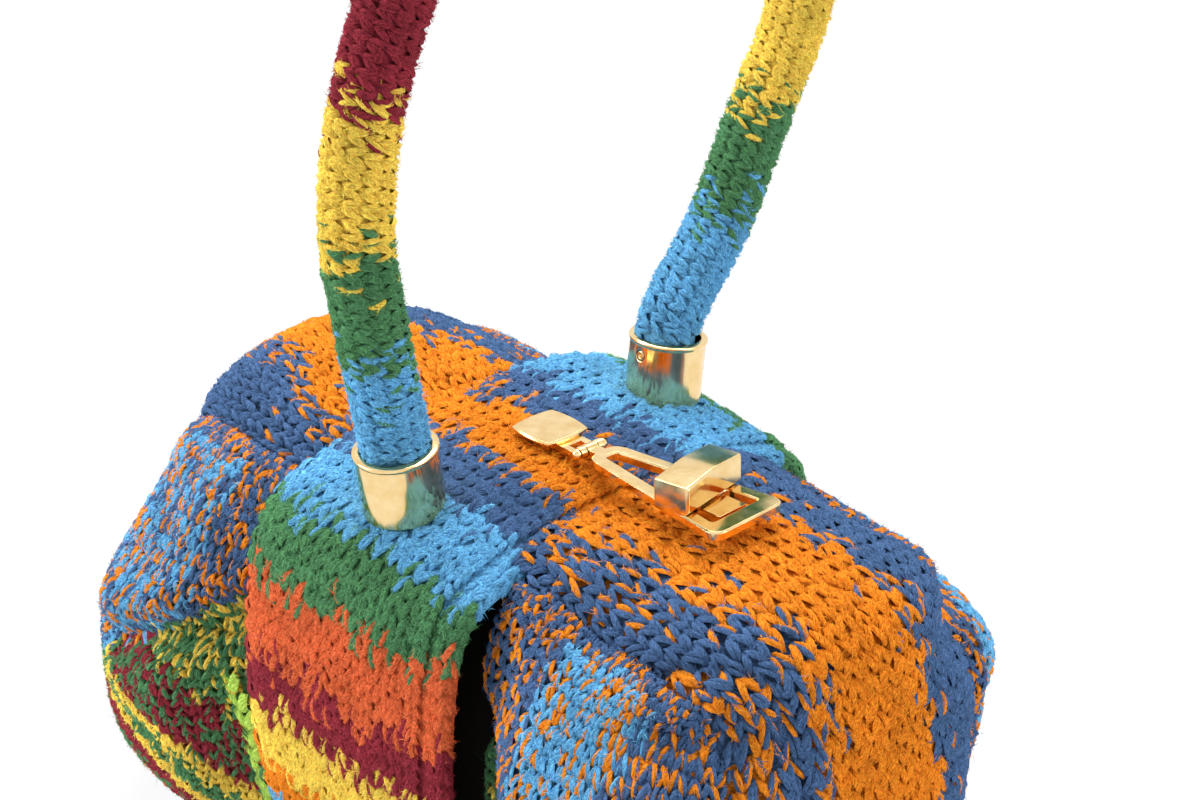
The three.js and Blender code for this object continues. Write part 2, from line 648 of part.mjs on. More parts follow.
// Closed outline through corner points with rounded corners
function roundedOutline(points, radius) {
  const corners = points.map(([x, y]) => new THREE.Vector2(x, y));
  const towards = (corner, other) => other.clone().sub(corner).setLength(radius).add(corner);
  const shape = new THREE.Shape();
  corners.forEach((corner, i) => {
    const before = towards(corner, corners.at(i - 1));
    const after = towards(corner, corners[(i + 1) % corners.length]);
    if (i === 0) shape.moveTo(before.x, before.y);
    else shape.lineTo(before.x, before.y);
    shape.quadraticCurveTo(corner.x, corner.y, after.x, after.y);
  });
  shape.closePath();
  return shape;
}

// Half width of the hasp's outline at a distance from the hinge
function haspHalf(x) {
  return THREE.MathUtils.mapLinear(x, HASP_NECK, HASP_LENGTH, HASP_NARROW / 2, HASP_WIDE / 2);
}

function haspTrapezoid(start, end, bar, radius) {
  const [near, far] = [haspHalf(start) - bar, haspHalf(end) - bar];
  return roundedOutline([[start, -near], [end, -far], [end, far], [start, near]], radius);
}

function hasp() {
  const shape = haspTrapezoid(HASP_NECK, HASP_LENGTH, 0, HASP_CORNER);
  const slotEnds = [HASP_NECK + HASP_SIDE_BAR, KNOB_X - BRIDGE_WIDTH / 2];
  const windowEnds = [KNOB_X + BRIDGE_WIDTH / 2, HASP_LENGTH - HASP_END_BAR];
  for (const [start, end] of [slotEnds, windowEnds]) {
    shape.holes.push(haspTrapezoid(start, end, HASP_SIDE_BAR, WINDOW_CORNER));
  }
  const half = KNUCKLE_WIDTH / 2;
  const neckEnd = HASP_NECK + HASP_BEVEL;
  const neck = boxBetween([0, -half, haspUnder], [neckEnd, half, haspTop - HASP_BEVEL]);
  const eye = hingeRod(2 * LUG_RADIUS, KNUCKLE_WIDTH);
  const bore = hingeRod(PIN_DIAMETER + 2 * GAP, HASP_NARROW);
  const hole = rodBetween(SPINDLE_DIAMETER + 2 * GAP, -HASP_THICKNESS, HASP_THICKNESS);
  let loop = solidOf(beveledSlab(shape, haspUnder, haspTop, HASP_BEVEL));
  loop = loop.add(solidOf(neck)).add(solidOf(eye));
  loop = loop.subtract(solidOf(bore)).subtract(solidOf(hole.translate(KNOB_X, 0, 0)));
  return geometryOf(loop);
}

addPiece(haspFrame, 'hasp_loop', hasp(), GOLD);

// Turn knob, its spindle and the cam, about the knob's axis; at rest the cam lies across the hasp
const knobBottom = haspTop + GAP;
const camTop = haspUnder - GAP;
const camBottom = camTop - CAM_THICKNESS;
const spindleSeat = camBottom - GAP;
const knobFrame = new THREE.Group();
knobFrame.position.set(KNOB_X, 0, 0);
haspFrame.add(knobFrame);

function turnKnob() {
  const half = KNOB_LENGTH / 2;
  const shape = new THREE.Shape();
  shape.moveTo(-half, 0);
  shape.lineTo(half, 0);
  shape.lineTo(half, KNOB_HEIGHT - KNOB_ARCH);
  shape.lineTo(0, KNOB_HEIGHT);
  shape.lineTo(-half, KNOB_HEIGHT - KNOB_ARCH);
  shape.closePath();
  const block = beveledSlab(shape, -KNOB_WIDTH / 2, KNOB_WIDTH / 2, KNOB_BEVEL, STRAIGHT);
  block.rotateX(Math.PI / 2).rotateZ(Math.PI / 2 + KNOB_YAW).translate(0, 0, knobBottom);
  const socket = rodBetween(SPINDLE_DIAMETER + 2 * GAP, 0, knobBottom + KNOB_SOCKET);
  return geometryOf(solidOf(block).subtract(solidOf(socket)));
}

function cam() {
  const half = CAM_WIDTH / 2;
  const corners = [[-half, -CAM_REACH], [half, -CAM_REACH], [half, half], [-half, half]];
  const shape = roundedOutline(corners, half / 2);
  shape.holes.push(new THREE.Path().absarc(0, 0, SPINDLE_DIAMETER / 2 + GAP, 0, 2 * Math.PI, true));
  return closedGeometry(slab(shape, camBottom, camTop));
}

addPiece(knobFrame, 'turn_knob', turnKnob(), GOLD);
addPiece(knobFrame, 'knob_cam', cam(), GOLD);
const spindleHead = { shank: SPINDLE_DIAMETER, head: SPINDLE_HEAD, headHeight: SPINDLE_HEAD_HEIGHT };
const spindle = fastener(spindleHead, knobBottom + KNOB_SOCKET - GAP - spindleSeat);
addPiece(knobFrame, 'knob_spindle', spindle.translate(0, 0, spindleSeat), GOLD);

// Lock base: a plate on the right lobe with a boss that stands in the hasp's window and catches the cam
const lockBacking = lockSeat - (LOBE_WALL - LOCK_EMBED - LOCK_POCKET) - GAP;
const lockRivetSeat = lockBacking - LOCK_BACKING_THICKNESS - GAP;
const lockStart = lockEnd - LOCK_LENGTH;
const rivetSpots = { inner: lockStart + LOCK_RIVET_INSET, outer: lockEnd - LOCK_RIVET_INSET };

function lockRivetHole(x, top) {
  return rodBetween(LOCK_RIVET.shank + 2 * GAP, lockRivetSeat, top).translate(x, 0, 0);
}

// Box over the lock plate's outline, grown by a margin
function lockBox(margin, low, high) {
  const half = LOCK_WIDTH / 2 + margin;
  return boxBetween([lockStart - margin, -half, low], [lockEnd + margin, half, high]);
}

function lockBase() {
  const half = BOSS_WIDTH / 2;
  const bossStart = KNOB_X + BOSS_SETBACK;
  const sweep = Math.hypot(CAM_REACH, CAM_WIDTH / 2) + 2 * GAP;
  const notchLow = [bossStart - GAP, -BOSS_WIDTH, camBottom - GAP];
  const notchHigh = [KNOB_X + sweep, CAM_WIDTH / 2 + 2 * GAP, camTop + GAP];
  const bossLow = [bossStart, -half, lockTop - LOCK_THICKNESS / 2];
  const bossHigh = [lockEnd, half, haspTop - BOSS_BELOW_HASP];
  const holes = Object.values(rivetSpots).map((x) => lockRivetHole(x, lockTop + GAP));
  let base = solidOf(lockBox(0, lockTop - LOCK_THICKNESS, lockTop));
  base = base.add(solidOf(boxBetween(bossLow, bossHigh)));
  for (const cut of [boxBetween(notchLow, notchHigh), ...holes]) base = base.subtract(solidOf(cut));
  return geometryOf(base);
}

function lockBackingPlate() {
  let plate = solidOf(lockBox(LOCK_BACKING_MARGIN, lockBacking - LOCK_BACKING_THICKNESS, lockBacking));
  const holes = Object.values(rivetSpots).map((x) => lockRivetHole(x, lockTop));
  for (const hole of holes) plate = plate.subtract(solidOf(hole));
  return geometryOf(plate);
}

addPiece(haspFrame, 'lock_base', lockBase(), GOLD);
addPiece(haspFrame, 'lock_backing', lockBackingPlate(), STEEL);
for (const [place, x] of Object.entries(rivetSpots)) {
  const rivet = fastener(LOCK_RIVET, lockTop - lockRivetSeat).translate(x, 0, lockRivetSeat);
  addPiece(haspFrame, `${place}_lock_rivet`, rivet, STEEL);
}

function rightLobe() {
  const seat = lockBox(GAP, lockSeat, knobBottom);
  const pocket = lockBox(LOCK_BACKING_MARGIN + GAP, lockRivetSeat - BAND_ROOM, lockBacking + GAP);
  const holes = Object.values(rivetSpots).map((x) => lockRivetHole(x, lockTop));
  let solid = lobeShell(RIGHT_LOBE, MOUTH_WIDTH);
  for (const cut of [seat, pocket, ...holes]) solid = solid.subtract(solidIn(haspFrame, cut));
  return geometryOf(solid);
}

addPiece(bag, 'right_lobe', rightLobe(), ORANGE_CROCHET);

export default bag;
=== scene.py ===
"""Striped crochet handbag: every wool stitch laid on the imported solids, gold fittings, soft white studio."""
import json
import math

import bmesh
import bpy
import numpy as np
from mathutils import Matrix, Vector
from mathutils.kdtree import KDTree


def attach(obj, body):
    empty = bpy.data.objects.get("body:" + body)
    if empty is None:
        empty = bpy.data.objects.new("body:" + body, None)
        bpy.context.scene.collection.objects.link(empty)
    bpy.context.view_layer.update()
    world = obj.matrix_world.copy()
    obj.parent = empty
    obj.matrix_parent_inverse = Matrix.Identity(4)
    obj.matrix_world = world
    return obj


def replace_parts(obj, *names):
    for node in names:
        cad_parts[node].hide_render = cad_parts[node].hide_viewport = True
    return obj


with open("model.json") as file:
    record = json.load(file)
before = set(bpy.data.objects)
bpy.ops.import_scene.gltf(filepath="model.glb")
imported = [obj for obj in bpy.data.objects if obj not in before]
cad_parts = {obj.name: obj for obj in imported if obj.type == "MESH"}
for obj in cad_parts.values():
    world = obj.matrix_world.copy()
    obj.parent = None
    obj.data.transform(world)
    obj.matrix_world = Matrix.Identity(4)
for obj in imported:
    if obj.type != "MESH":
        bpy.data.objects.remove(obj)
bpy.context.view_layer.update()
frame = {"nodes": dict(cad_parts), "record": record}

MM = 0.001
dice = np.random.default_rng(7)

# ---------------------------------------------------------------- camera
EYE = (439.59, -389.16, 485.62)
TURN_ROUND = math.radians(46.63)
LOOK_DOWN = math.radians(26.78)
LENS = 63.0
FILM_WIDTH = 36.0

gaze = Vector((-math.sin(TURN_ROUND) * math.cos(LOOK_DOWN),
               math.cos(TURN_ROUND) * math.cos(LOOK_DOWN),
               -math.sin(LOOK_DOWN)))
camera_lens = bpy.data.cameras.new("camera")
camera_lens.lens = LENS
camera_lens.sensor_width = FILM_WIDTH
camera_lens.clip_start = 0.01
camera_lens.clip_end = 50.0
camera = bpy.data.objects.new("camera", camera_lens)
camera.location = [v * MM for v in EYE]
camera.rotation_euler = gaze.to_track_quat("-Z", "Y").to_euler()
bpy.context.scene.collection.objects.link(camera)
bpy.context.scene.camera = camera
bpy.context.scene.view_settings.view_transform = "Standard"


# ---------------------------------------------------------------- finishes
def linear(hex_colour):
    """sRGB hex to linear light, with alpha 1."""
    parts = [int(hex_colour[i:i + 2], 16) / 255 for i in (1, 3, 5)]
    return [c / 12.92 if c <= 0.04045 else ((c + 0.055) / 1.055) ** 2.4 for c in parts] + [1.0]


def add_node(tree, kind, settings=None, links=None):
    """Adds one node, sets its properties and sockets, and joins its inputs to other sockets."""
    node = tree.nodes.new(kind)
    for name, value in (settings or {}).items():
        if name == "stops":
            while len(node.color_ramp.elements) < len(value):
                node.color_ramp.elements.new(0.5)
            for stop, (spot, colour) in zip(node.color_ramp.elements, value):
                stop.position, stop.color = spot, colour
        elif isinstance(name, str) and name[0].islower():
            setattr(node, name, value)
        else:
            node.inputs[name].default_value = value
    for name, source in (links or {}).items():
        tree.links.new(source, node.inputs[name])
    return node


def new_finish(name):
    finish = bpy.data.materials.new(name)
    finish.use_nodes = True
    finish.node_tree.nodes.clear()
    return finish, finish.node_tree


def tint(colour, gain):
    return [min(1.0, c * gain) for c in colour[:3]] + [1.0]


# Dyed wool, spun soft and crocheted, then rubbed and felted in use: matt, with loose fibres that run along each
# strand, felted into small tufts, and a pale halo of fuzz at grazing angles. Fibres are about 0.03 mm; they are drawn
# 0.4 mm wide to show.
FIBRE_WIDTH = 0.4
FIBRE_LENGTH = 2.4
FELT_TUFT = 0.9
DYE_PATCH = 16.0


def dyed_wool(name, hex_colour, pale):
    finish, tree = new_finish(name)
    # pale scales the yarn colour up: painted light where it is above 1, as it is for the nap.
    yarn = tint(linear(hex_colour), pale)
    place = add_node(tree, "ShaderNodeTexCoord")
    strand = add_node(tree, "ShaderNodeMapping", {"Scale": (1 / FIBRE_LENGTH, 1 / FIBRE_WIDTH, 1.0)},
                      {"Vector": place.outputs["UV"]})
    fibres = add_node(tree, "ShaderNodeTexNoise", {"Scale": 1.0, "Detail": 3.0, "Roughness": 0.62},
                      {"Vector": strand.outputs["Vector"]})
    streaks = add_node(tree, "ShaderNodeValToRGB",
                       {"stops": [(0.34, tint(yarn, 0.45)), (0.50, yarn), (0.66, tint(yarn, 1.6))]},
                       {"Fac": fibres.outputs["Fac"]})
    dye = add_node(tree, "ShaderNodeTexNoise", {"Scale": 1 / (DYE_PATCH * MM), "Detail": 2.0},
                   {"Vector": place.outputs["Object"]})
    depth = add_node(tree, "ShaderNodeMapRange",
                     {"From Min": 0.3, "From Max": 0.7, "To Min": 0.86, "To Max": 1.12},
                     {"Value": dye.outputs["Fac"]})
    tufts = add_node(tree, "ShaderNodeTexNoise", {"Scale": 1 / (FELT_TUFT * MM), "Detail": 3.0, "Roughness": 0.7},
                     {"Vector": place.outputs["Object"]})
    felt = add_node(tree, "ShaderNodeMapRange",
                    {"From Min": 0.32, "From Max": 0.68, "To Min": 0.72, "To Max": 1.26},
                    {"Value": tufts.outputs["Fac"]})
    shade = add_node(tree, "ShaderNodeMath", {"operation": "MULTIPLY"},
                     {0: depth.outputs["Result"], 1: felt.outputs["Result"]})
    colour = add_node(tree, "ShaderNodeHueSaturation", {},
                      {"Value": shade.outputs["Value"], "Color": streaks.outputs["Color"]})
    rough = add_node(tree, "ShaderNodeMath", {"operation": "ADD"},
                     {0: fibres.outputs["Fac"], 1: tufts.outputs["Fac"]})
    relief = add_node(tree, "ShaderNodeBump", {"Strength": 0.7, "Distance": FIBRE_WIDTH * MM},
                      {"Height": rough.outputs["Value"]})
    wool = add_node(tree, "ShaderNodeBsdfPrincipled",
                    {"Roughness": 0.95, "IOR": 1.5, "Specular IOR Level": 0.15, "Sheen Weight": 0.35,
                     "Sheen Roughness": 0.55, "Sheen Tint": tint(yarn, 1.6)},
                    {"Base Color": colour.outputs["Color"], "Normal": relief.outputs["Normal"]})
    add_node(tree, "ShaderNodeOutputMaterial", {}, {"Surface": wool.outputs["BSDF"]})
    return finish


YARNS = {
    "orange": "#EA8421",
    "navy": "#45628B",
    "sky": "#62A6D5",
    "green": "#4D8055",
    "rust": "#D7653B",
    "claret": "#8A2C38",
    "yellow": "#FDCA53",
    "lime": "#A9CC58",
}
YARN_NAMES = list(YARNS)
strand_wool = [dyed_wool("wool_strand_" + name, colour, 1.0) for name, colour in YARNS.items()]
# Nap copies of each yarn are 1.3 times paler: painted light, for the light that loose fibres catch.
nap_wool_painted_light = [dyed_wool("wool_nap_painted_light_" + name, colour, 1.3) for name, colour in YARNS.items()]


# Black cotton twill lining: matt and very dark, with the fine slant of its threads; its black is painted shade.
TWILL_PITCH = 0.8
TWILL_DEPTH = 0.2
WAVE_REPEAT = 0.314  # width of one wave of the wave texture at scale 1


def cotton_twill(name, hex_thread, hex_gap):
    finish, tree = new_finish(name)
    place = add_node(tree, "ShaderNodeTexCoord")
    twill = add_node(tree, "ShaderNodeTexWave",
                     {"bands_direction": "DIAGONAL", "Scale": WAVE_REPEAT / (TWILL_PITCH * MM),
                      "Distortion": 1.2, "Detail": 2.0},
                     {"Vector": place.outputs["Object"]})
    colour = add_node(tree, "ShaderNodeValToRGB", {"stops": [(0.2, linear(hex_gap)), (0.8, linear(hex_thread))]},
                      {"Fac": twill.outputs["Fac"]})
    relief = add_node(tree, "ShaderNodeBump", {"Strength": 0.3, "Distance": TWILL_DEPTH * MM},
                      {"Height": twill.outputs["Fac"]})
    cloth = add_node(tree, "ShaderNodeBsdfPrincipled", {"Roughness": 0.95, "Specular IOR Level": 0.15},
                     {"Base Color": colour.outputs["Color"], "Normal": relief.outputs["Normal"]})
    add_node(tree, "ShaderNodeOutputMaterial", {}, {"Surface": cloth.outputs["BSDF"]})
    return finish


# Gold plating on cast and hand-polished brass: a clear warm mirror, gently uneven from the polishing wheel.
# Steel of the hidden screws and washers: the same polish, greyer and less clear.
WHEEL_WAVE = 9.0
WHEEL_DEPTH = 0.22
HAZE_PATCH = 7.0


def polished_metal(name, hex_bright, hex_worn, clear, hazed):
    finish, tree = new_finish(name)
    place = add_node(tree, "ShaderNodeTexCoord")
    haze = add_node(tree, "ShaderNodeTexNoise", {"Scale": 1 / (HAZE_PATCH * MM), "Detail": 4.0, "Roughness": 0.6},
                    {"Vector": place.outputs["Object"]})
    colour = add_node(tree, "ShaderNodeValToRGB", {"stops": [(0.35, linear(hex_worn)), (0.65, linear(hex_bright))]},
                      {"Fac": haze.outputs["Fac"]})
    gloss = add_node(tree, "ShaderNodeMapRange",
                     {"From Min": 0.3, "From Max": 0.75, "To Min": clear, "To Max": hazed},
                     {"Value": haze.outputs["Fac"]})
    waves = add_node(tree, "ShaderNodeTexNoise", {"Scale": 1 / (WHEEL_WAVE * MM), "Detail": 0.0},
                     {"Vector": place.outputs["Object"]})
    relief = add_node(tree, "ShaderNodeBump", {"Strength": 1.0, "Distance": WHEEL_DEPTH * MM},
                      {"Height": waves.outputs["Fac"]})
    metal = add_node(tree, "ShaderNodeBsdfPrincipled", {"Metallic": 1.0},
                     {"Base Color": colour.outputs["Color"], "Roughness": gloss.outputs["Result"],
                      "Normal": relief.outputs["Normal"]})
    add_node(tree, "ShaderNodeOutputMaterial", {}, {"Surface": metal.outputs["BSDF"]})
    return finish


# Grey pulp board and twisted cotton rope, both closed in by the wool.
FLECK = 1.2


def pressed_pulp(name, hex_pale, hex_dark):
    finish, tree = new_finish(name)
    place = add_node(tree, "ShaderNodeTexCoord")
    flecks = add_node(tree, "ShaderNodeTexNoise", {"Scale": 1 / (FLECK * MM), "Detail": 4.0},
                      {"Vector": place.outputs["Object"]})
    colour = add_node(tree, "ShaderNodeValToRGB", {"stops": [(0.35, linear(hex_dark)), (0.65, linear(hex_pale))]},
                      {"Fac": flecks.outputs["Fac"]})
    board = add_node(tree, "ShaderNodeBsdfPrincipled", {"Roughness": 0.85}, {"Base Color": colour.outputs["Color"]})
    add_node(tree, "ShaderNodeOutputMaterial", {}, {"Surface": board.outputs["BSDF"]})
    return finish


# The black lining is painted shade as well as a lining; the rope's pale twill is its own colour.
black_lining_painted_shade = cotton_twill("black_twill_painted_shade", "#2A2722", "#171513")
gold_plate = polished_metal("polished_gold_plate", "#F8DCA6", "#EFCB8C", 0.09, 0.19)
steel = polished_metal("turned_steel", "#C9CACC", "#A9ABAE", 0.2, 0.35)
pulp_board = pressed_pulp("grey_pulp_board", "#8C8377", "#6E665C")
cotton_rope = cotton_twill("twisted_cotton_rope", "#DCD4C2", "#B9AF9A")

# ---------------------------------------------------------------- shapes of the bag, in millimetres
TOP = 178.0
FLOOR_OF_LOBES = 6.3


def ease(x, low, high):
    """0 below low, 1 above high, smooth between."""
    t = np.clip((x - low) / (high - low), 0, 1)
    return t * t * (3 - 2 * t)


def mound(x, middle, spread):
    """A soft mound, 1 high."""
    return np.exp(-((x - middle) / spread) ** 2)


def lengths(line):
    """Distance along a line at each of its points."""
    return np.concatenate([[0], np.cumsum(np.linalg.norm(np.diff(line, axis=0), axis=1))])


def curve_through(points, steps=60):
    """A smooth line through the points (centripetal spline), as its points, lengths and directions."""
    p = np.asarray(points, float)
    p = np.vstack([2 * p[0] - p[1], p, 2 * p[-1] - p[-2]])
    line = []
    for a, b, c, d in zip(p[:-3], p[1:-2], p[2:-1], p[3:]):
        e, f, g = (np.linalg.norm(q - o) ** 0.5 for o, q in ((a, b), (b, c), (c, d)))
        leave = ((b - a) / e - (c - a) / (e + f) + (c - b) / f) * f
        arrive = ((c - b) / f - (d - b) / (f + g) + (d - c) / g) * f
        t = np.linspace(0, 1, steps, endpoint=False)[:, None]
        line.append(b + leave * t + (3 * (c - b) - 2 * leave - arrive) * t ** 2
                    + (2 * (b - c) + leave + arrive) * t ** 3)
    line = np.vstack(line + [p[-2][None]])
    length = lengths(line)
    way = np.gradient(line, length, axis=0)
    return line, length, way / np.linalg.norm(way, axis=1)[:, None]


def along(line_set, s):
    """Point, direction and side at distance s along a flat line."""
    line, length, way = line_set
    p = np.stack([np.interp(s, length, line[:, k]) for k in (0, 1)], -1)
    t = np.stack([np.interp(s, length, way[:, k]) for k in (0, 1)], -1)
    t = t / np.linalg.norm(t, axis=-1)[..., None]
    return p, t, np.stack([-t[..., 1], t[..., 0]], -1)


# Band: a strap over the top from the front hem to the back hem, slightly crowned across.
BAND_HALF = [(73, 8), (87, TOP - 88), (77, TOP - 17), (54.7, TOP - 4.6)]
BAND_FLAT = 43.6
BAND_ROUND = 3.0
BAND_LOW_LEFT, BAND_LOW_RIGHT, BAND_CROWN = -0.85, -5.35, 3.1
band_route = curve_through([(-y, z) for y, z in BAND_HALF] + [(0, TOP)] + [(y, z) for y, z in BAND_HALF[::-1]])
BAND_MIDDLE = band_route[1][-1] / 2


def band_face(x, d):
    """Outer face of the band: x across, measured on round the edges, d along from the middle of the top."""
    p, _, out = along(band_route, BAND_MIDDLE + d)
    flat = np.clip(x, -BAND_FLAT, BAND_FLAT)
    k = (flat / BAND_FLAT + 1) / 2
    lift = (1 - k) ** 2 * BAND_LOW_LEFT + 2 * k * (1 - k) * BAND_CROWN + k ** 2 * BAND_LOW_RIGHT
    turn = (x - flat) / BAND_ROUND
    lift = lift - BAND_ROUND * (1 - np.cos(turn))
    across = flat + BAND_ROUND * np.sin(turn)
    return np.stack([across, p[..., 0] + out[..., 0] * lift, p[..., 1] + out[..., 1] * lift], -1)


# Lobes: a puffed end on each side, a gusset strip over the top and the far end, a bellied face front and back.
RIGHT_LOBE = dict(side=1, length=126, half=50, drop=12, puff=11, bulge=38, pinch=0.45, slump=9, belly=100,
                  fold=4, fold_drop=62, fold_slope=0.55, tuck=3.0)
LEFT_LOBE = dict(side=-1, length=130, half=52, drop=9, puff=13, bulge=45, pinch=0.65, slump=21, belly=108,
                 fold=6, fold_drop=58, fold_slope=0.5, tuck=5.5)
LOBE_START = 20.0
CREASE = 6.0
FOLD_WIDTH = 11.0
PINCH_FROM, PINCH_REACH = 47.0, 36.0
RISE_SINES = (-0.6, 0.1)
TOP_BY_BAND, TOP_FAR, FOOT_BY_BAND, FOOT_FAR = 4.0, 5.0, 40.0, 3.4


def lobe_power(a, b):
    """How square the outline of a lobe is in each quarter: a is 0 at its middle and grows away from the band, b up."""
    return np.where(b > 0, np.where(a < 0, TOP_BY_BAND, TOP_FAR), np.where(a < 0, FOOT_BY_BAND, FOOT_FAR))


def lobe_rise(angle):
    """0 at the foot of a lobe and 1 at its top: only the upper part puffs and creases."""
    return ease(np.sin(angle), *RISE_SINES)


def lobe_edge(lobe, angle, lift):
    """Outline of a lobe at an angle round its middle, let out by lift."""
    top = TOP - lobe["drop"]
    half_x, half_z = lobe["length"] / 2, (top - FLOOR_OF_LOBES) / 2
    c, u = np.cos(angle), np.sin(angle)
    power = lobe_power(c, u)
    reach = (np.abs(c / half_x) ** power + np.abs(u / half_z) ** power) ** (-1 / power) + lift
    lean = np.where(c > 0, -lobe["slump"] * np.sin(2 * angle), 0)
    return LOBE_START + half_x + reach * c + lean, (top + FLOOR_OF_LOBES) / 2 + reach * u


# Slouch: how far the corners of the lobes move, between which heights, and where the corners begin.
CORNER_X, CORNER_Y = 0.69, 0.73
CORNER_BEGINS = (108, 142)
CORNER_STANDS = (8, 40)
LEFT_SWELL, LEFT_SWELL_LOW, LEFT_SWELL_HIGH = 9.5, (58, 84), (108, 138)
LEFT_NECK, LEFT_NECK_AT, LEFT_NECK_SPREAD = 5, 148, 10
RIGHT_NECK, RIGHT_NECK_AT, RIGHT_NECK_SPREAD = 12, 150, 8
RIGHT_SWELL, RIGHT_SWELL_AT, RIGHT_SWELL_SPREAD = 4.5, 124, 9
RIGHT_FOOT, RIGHT_FOOT_HIGH = 15, (72, 108)
RIGHT_RISE, RIGHT_RISE_NEAR, RIGHT_RISE_FAR = 8, (0, 30), (48, 92)
RIGHT_RISE_SIDE, RIGHT_RISE_LOW = (12, 44), (105, 150)


def slouch(point):
    """How the filled cloth settles away from its plain solid: the left lobe swells at its outer corners, low down,
    and the right lobe draws in at its corners above and below a fuller middle, and rises to meet the band."""
    x, y, z = point[..., 0], point[..., 1], point[..., 2]
    swell = (LEFT_SWELL * ease(z, *LEFT_SWELL_LOW) * (1 - ease(z, *LEFT_SWELL_HIGH))
             - LEFT_NECK * mound(z, LEFT_NECK_AT, LEFT_NECK_SPREAD))
    draw = (RIGHT_NECK * mound(z, RIGHT_NECK_AT, RIGHT_NECK_SPREAD)
            - RIGHT_SWELL * mound(z, RIGHT_SWELL_AT, RIGHT_SWELL_SPREAD)
            + RIGHT_FOOT * (1 - ease(z, *RIGHT_FOOT_HIGH)))
    corner = ease(CORNER_X * np.abs(x) + CORNER_Y * np.abs(y), *CORNER_BEGINS)
    push = corner * np.where(x < 0, swell, -draw) * ease(z, *CORNER_STANDS)
    rise = (RIGHT_RISE * ease(x, *RIGHT_RISE_NEAR) * (1 - ease(x, *RIGHT_RISE_FAR))
            * ease(np.abs(y), *RIGHT_RISE_SIDE) * ease(z, *RIGHT_RISE_LOW))
    return point + np.stack([np.sign(x) * CORNER_X * push, np.sign(y) * CORNER_Y * push, rise], -1)


def lobe_strip(lobe, k, angle):
    """Gusset strip: k from -1 at the front crease to 1 at the back crease."""
    x, z = lobe_edge(lobe, angle, lobe_rise(angle) * (lobe["puff"] * (1 - k * k) - CREASE * k ** 8))
    return slouch(np.stack([lobe["side"] * x, k * lobe["half"] + 0 * x, z], -1))


def fold_height(lobe, x):
    """Height of the fold of a face: it falls away from the band."""
    return TOP - lobe["fold_drop"] - lobe["fold_slope"] * (x - PINCH_FROM)


TUCK_ENDS, TUCK_SPREAD = (95, 130), 7
LIP_SHARE, LIP_ABOVE, LIP_SPREAD = 0.6, 16, 8
TUCK_COSINES = (0.2, 0.6)


def tucked(lobe, x, z):
    """How far the cloth is drawn in along the fold of a face, and stands out in a lip above it."""
    over = z - fold_height(lobe, x)
    near_band = 1 - ease(x, *TUCK_ENDS)
    return lobe["tuck"] * near_band * (mound(over, 0, TUCK_SPREAD) - LIP_SHARE * mound(over, LIP_ABOVE, LIP_SPREAD))


def lobe_face(lobe, facing, turn, angle):
    """Bellied face: turn from 0 at the middle of the belly to a right angle at the crease."""
    edge_x, edge_z = lobe_edge(lobe, angle, -lobe_rise(angle) * CREASE)
    mid_x, mid_z = LOBE_START + lobe["length"] / 2, TOP - lobe["belly"]
    s = np.sin(turn)
    x = mid_x + (edge_x - mid_x) * s
    z = mid_z + (edge_z - mid_z) * s
    fold = lobe["fold"] * s * mound(z, fold_height(lobe, x), FOLD_WIDTH)
    free = lobe["pinch"] + (1 - lobe["pinch"]) * ease(x, PINCH_FROM, PINCH_FROM + PINCH_REACH)
    depth = lobe["half"] + (lobe["bulge"] * free - fold) * np.cos(turn)
    depth = depth - tucked(lobe, x, z) * ease(np.cos(turn), *TUCK_COSINES)
    return slouch(np.stack([lobe["side"] * x, facing * depth, z], -1))


# Handle: a rope covered in crochet, from the front ferrule up and over to the back ferrule.
SLEEVE_RADIUS = 10.2
FERRULE_TILT = math.radians(6.75)
FERRULE_FOOT = (54.7, TOP - 4.6)
FERRULE_SUNK = 1.5
FERRULE_STEPS = (4.6, 15.95, 27.3)
FERRULE_RIM = 22.3
HANDLE_ROUTE = [(-63.5, 56), (-66.8, 88), (-61, 122), (-42, 162), (-4, 200), (46, 216), (95, 199), (121, 160),
                (115.5, 117), (98, 83.5), (80, 50)]


def ferrule_line(side):
    way = np.array([side * math.sin(FERRULE_TILT), math.cos(FERRULE_TILT)])
    foot = np.array([side * FERRULE_FOOT[0], FERRULE_FOOT[1]]) - FERRULE_SUNK * way
    return [foot + way * step for step in FERRULE_STEPS]


handle_route = curve_through(ferrule_line(-1) + [(y, TOP + z) for y, z in HANDLE_ROUTE] + ferrule_line(1)[::-1])
HANDLE_LENGTH = handle_route[1][-1]
SLEEVE_START = FERRULE_RIM - FERRULE_STEPS[0]


def handle_face(turn, s):
    """Outer face of the handle: turn round the rope, s along it."""
    p, _, out = along(handle_route, s)
    c, q = SLEEVE_RADIUS * np.cos(turn), SLEEVE_RADIUS * np.sin(turn)
    return np.stack([c + 0 * s, p[..., 0] + out[..., 0] * q, p[..., 1] + out[..., 1] * q], -1)


# ---------------------------------------------------------------- stripes
SEAM_Y, SEAM_DRIFT, SEAM_DRIFTS = -52, 20, (92, 140)


def right_seam(x):
    """Where the front seam of the right strip runs: it drifts inwards towards the far end."""
    return SEAM_Y + SEAM_DRIFT * ease(x, *SEAM_DRIFTS)


def pick(first, second, share, chance):
    """Two yarns worked together: second shows in that share of the strands."""
    return np.where(chance < share, YARN_NAMES.index(second), YARN_NAMES.index(first))


def again(chance, turn=7.3):
    """Another chance for the same strand, made from its first."""
    return (chance * turn) % 1


NEAR_STRAYS = 0.35


def striped(place, stops, chance, blur):
    """Yarn by place along the stripes. Neighbouring yarns mix for blur millimetres each side of a change."""
    stray = 2 * chance - 1
    at = place + blur * (NEAR_STRAYS * stray + stray ** 3)
    edges = [e for e, _ in stops[1:]]
    names = np.array([YARN_NAMES.index(n) for _, n in stops])
    return names[np.searchsorted(edges, at)]


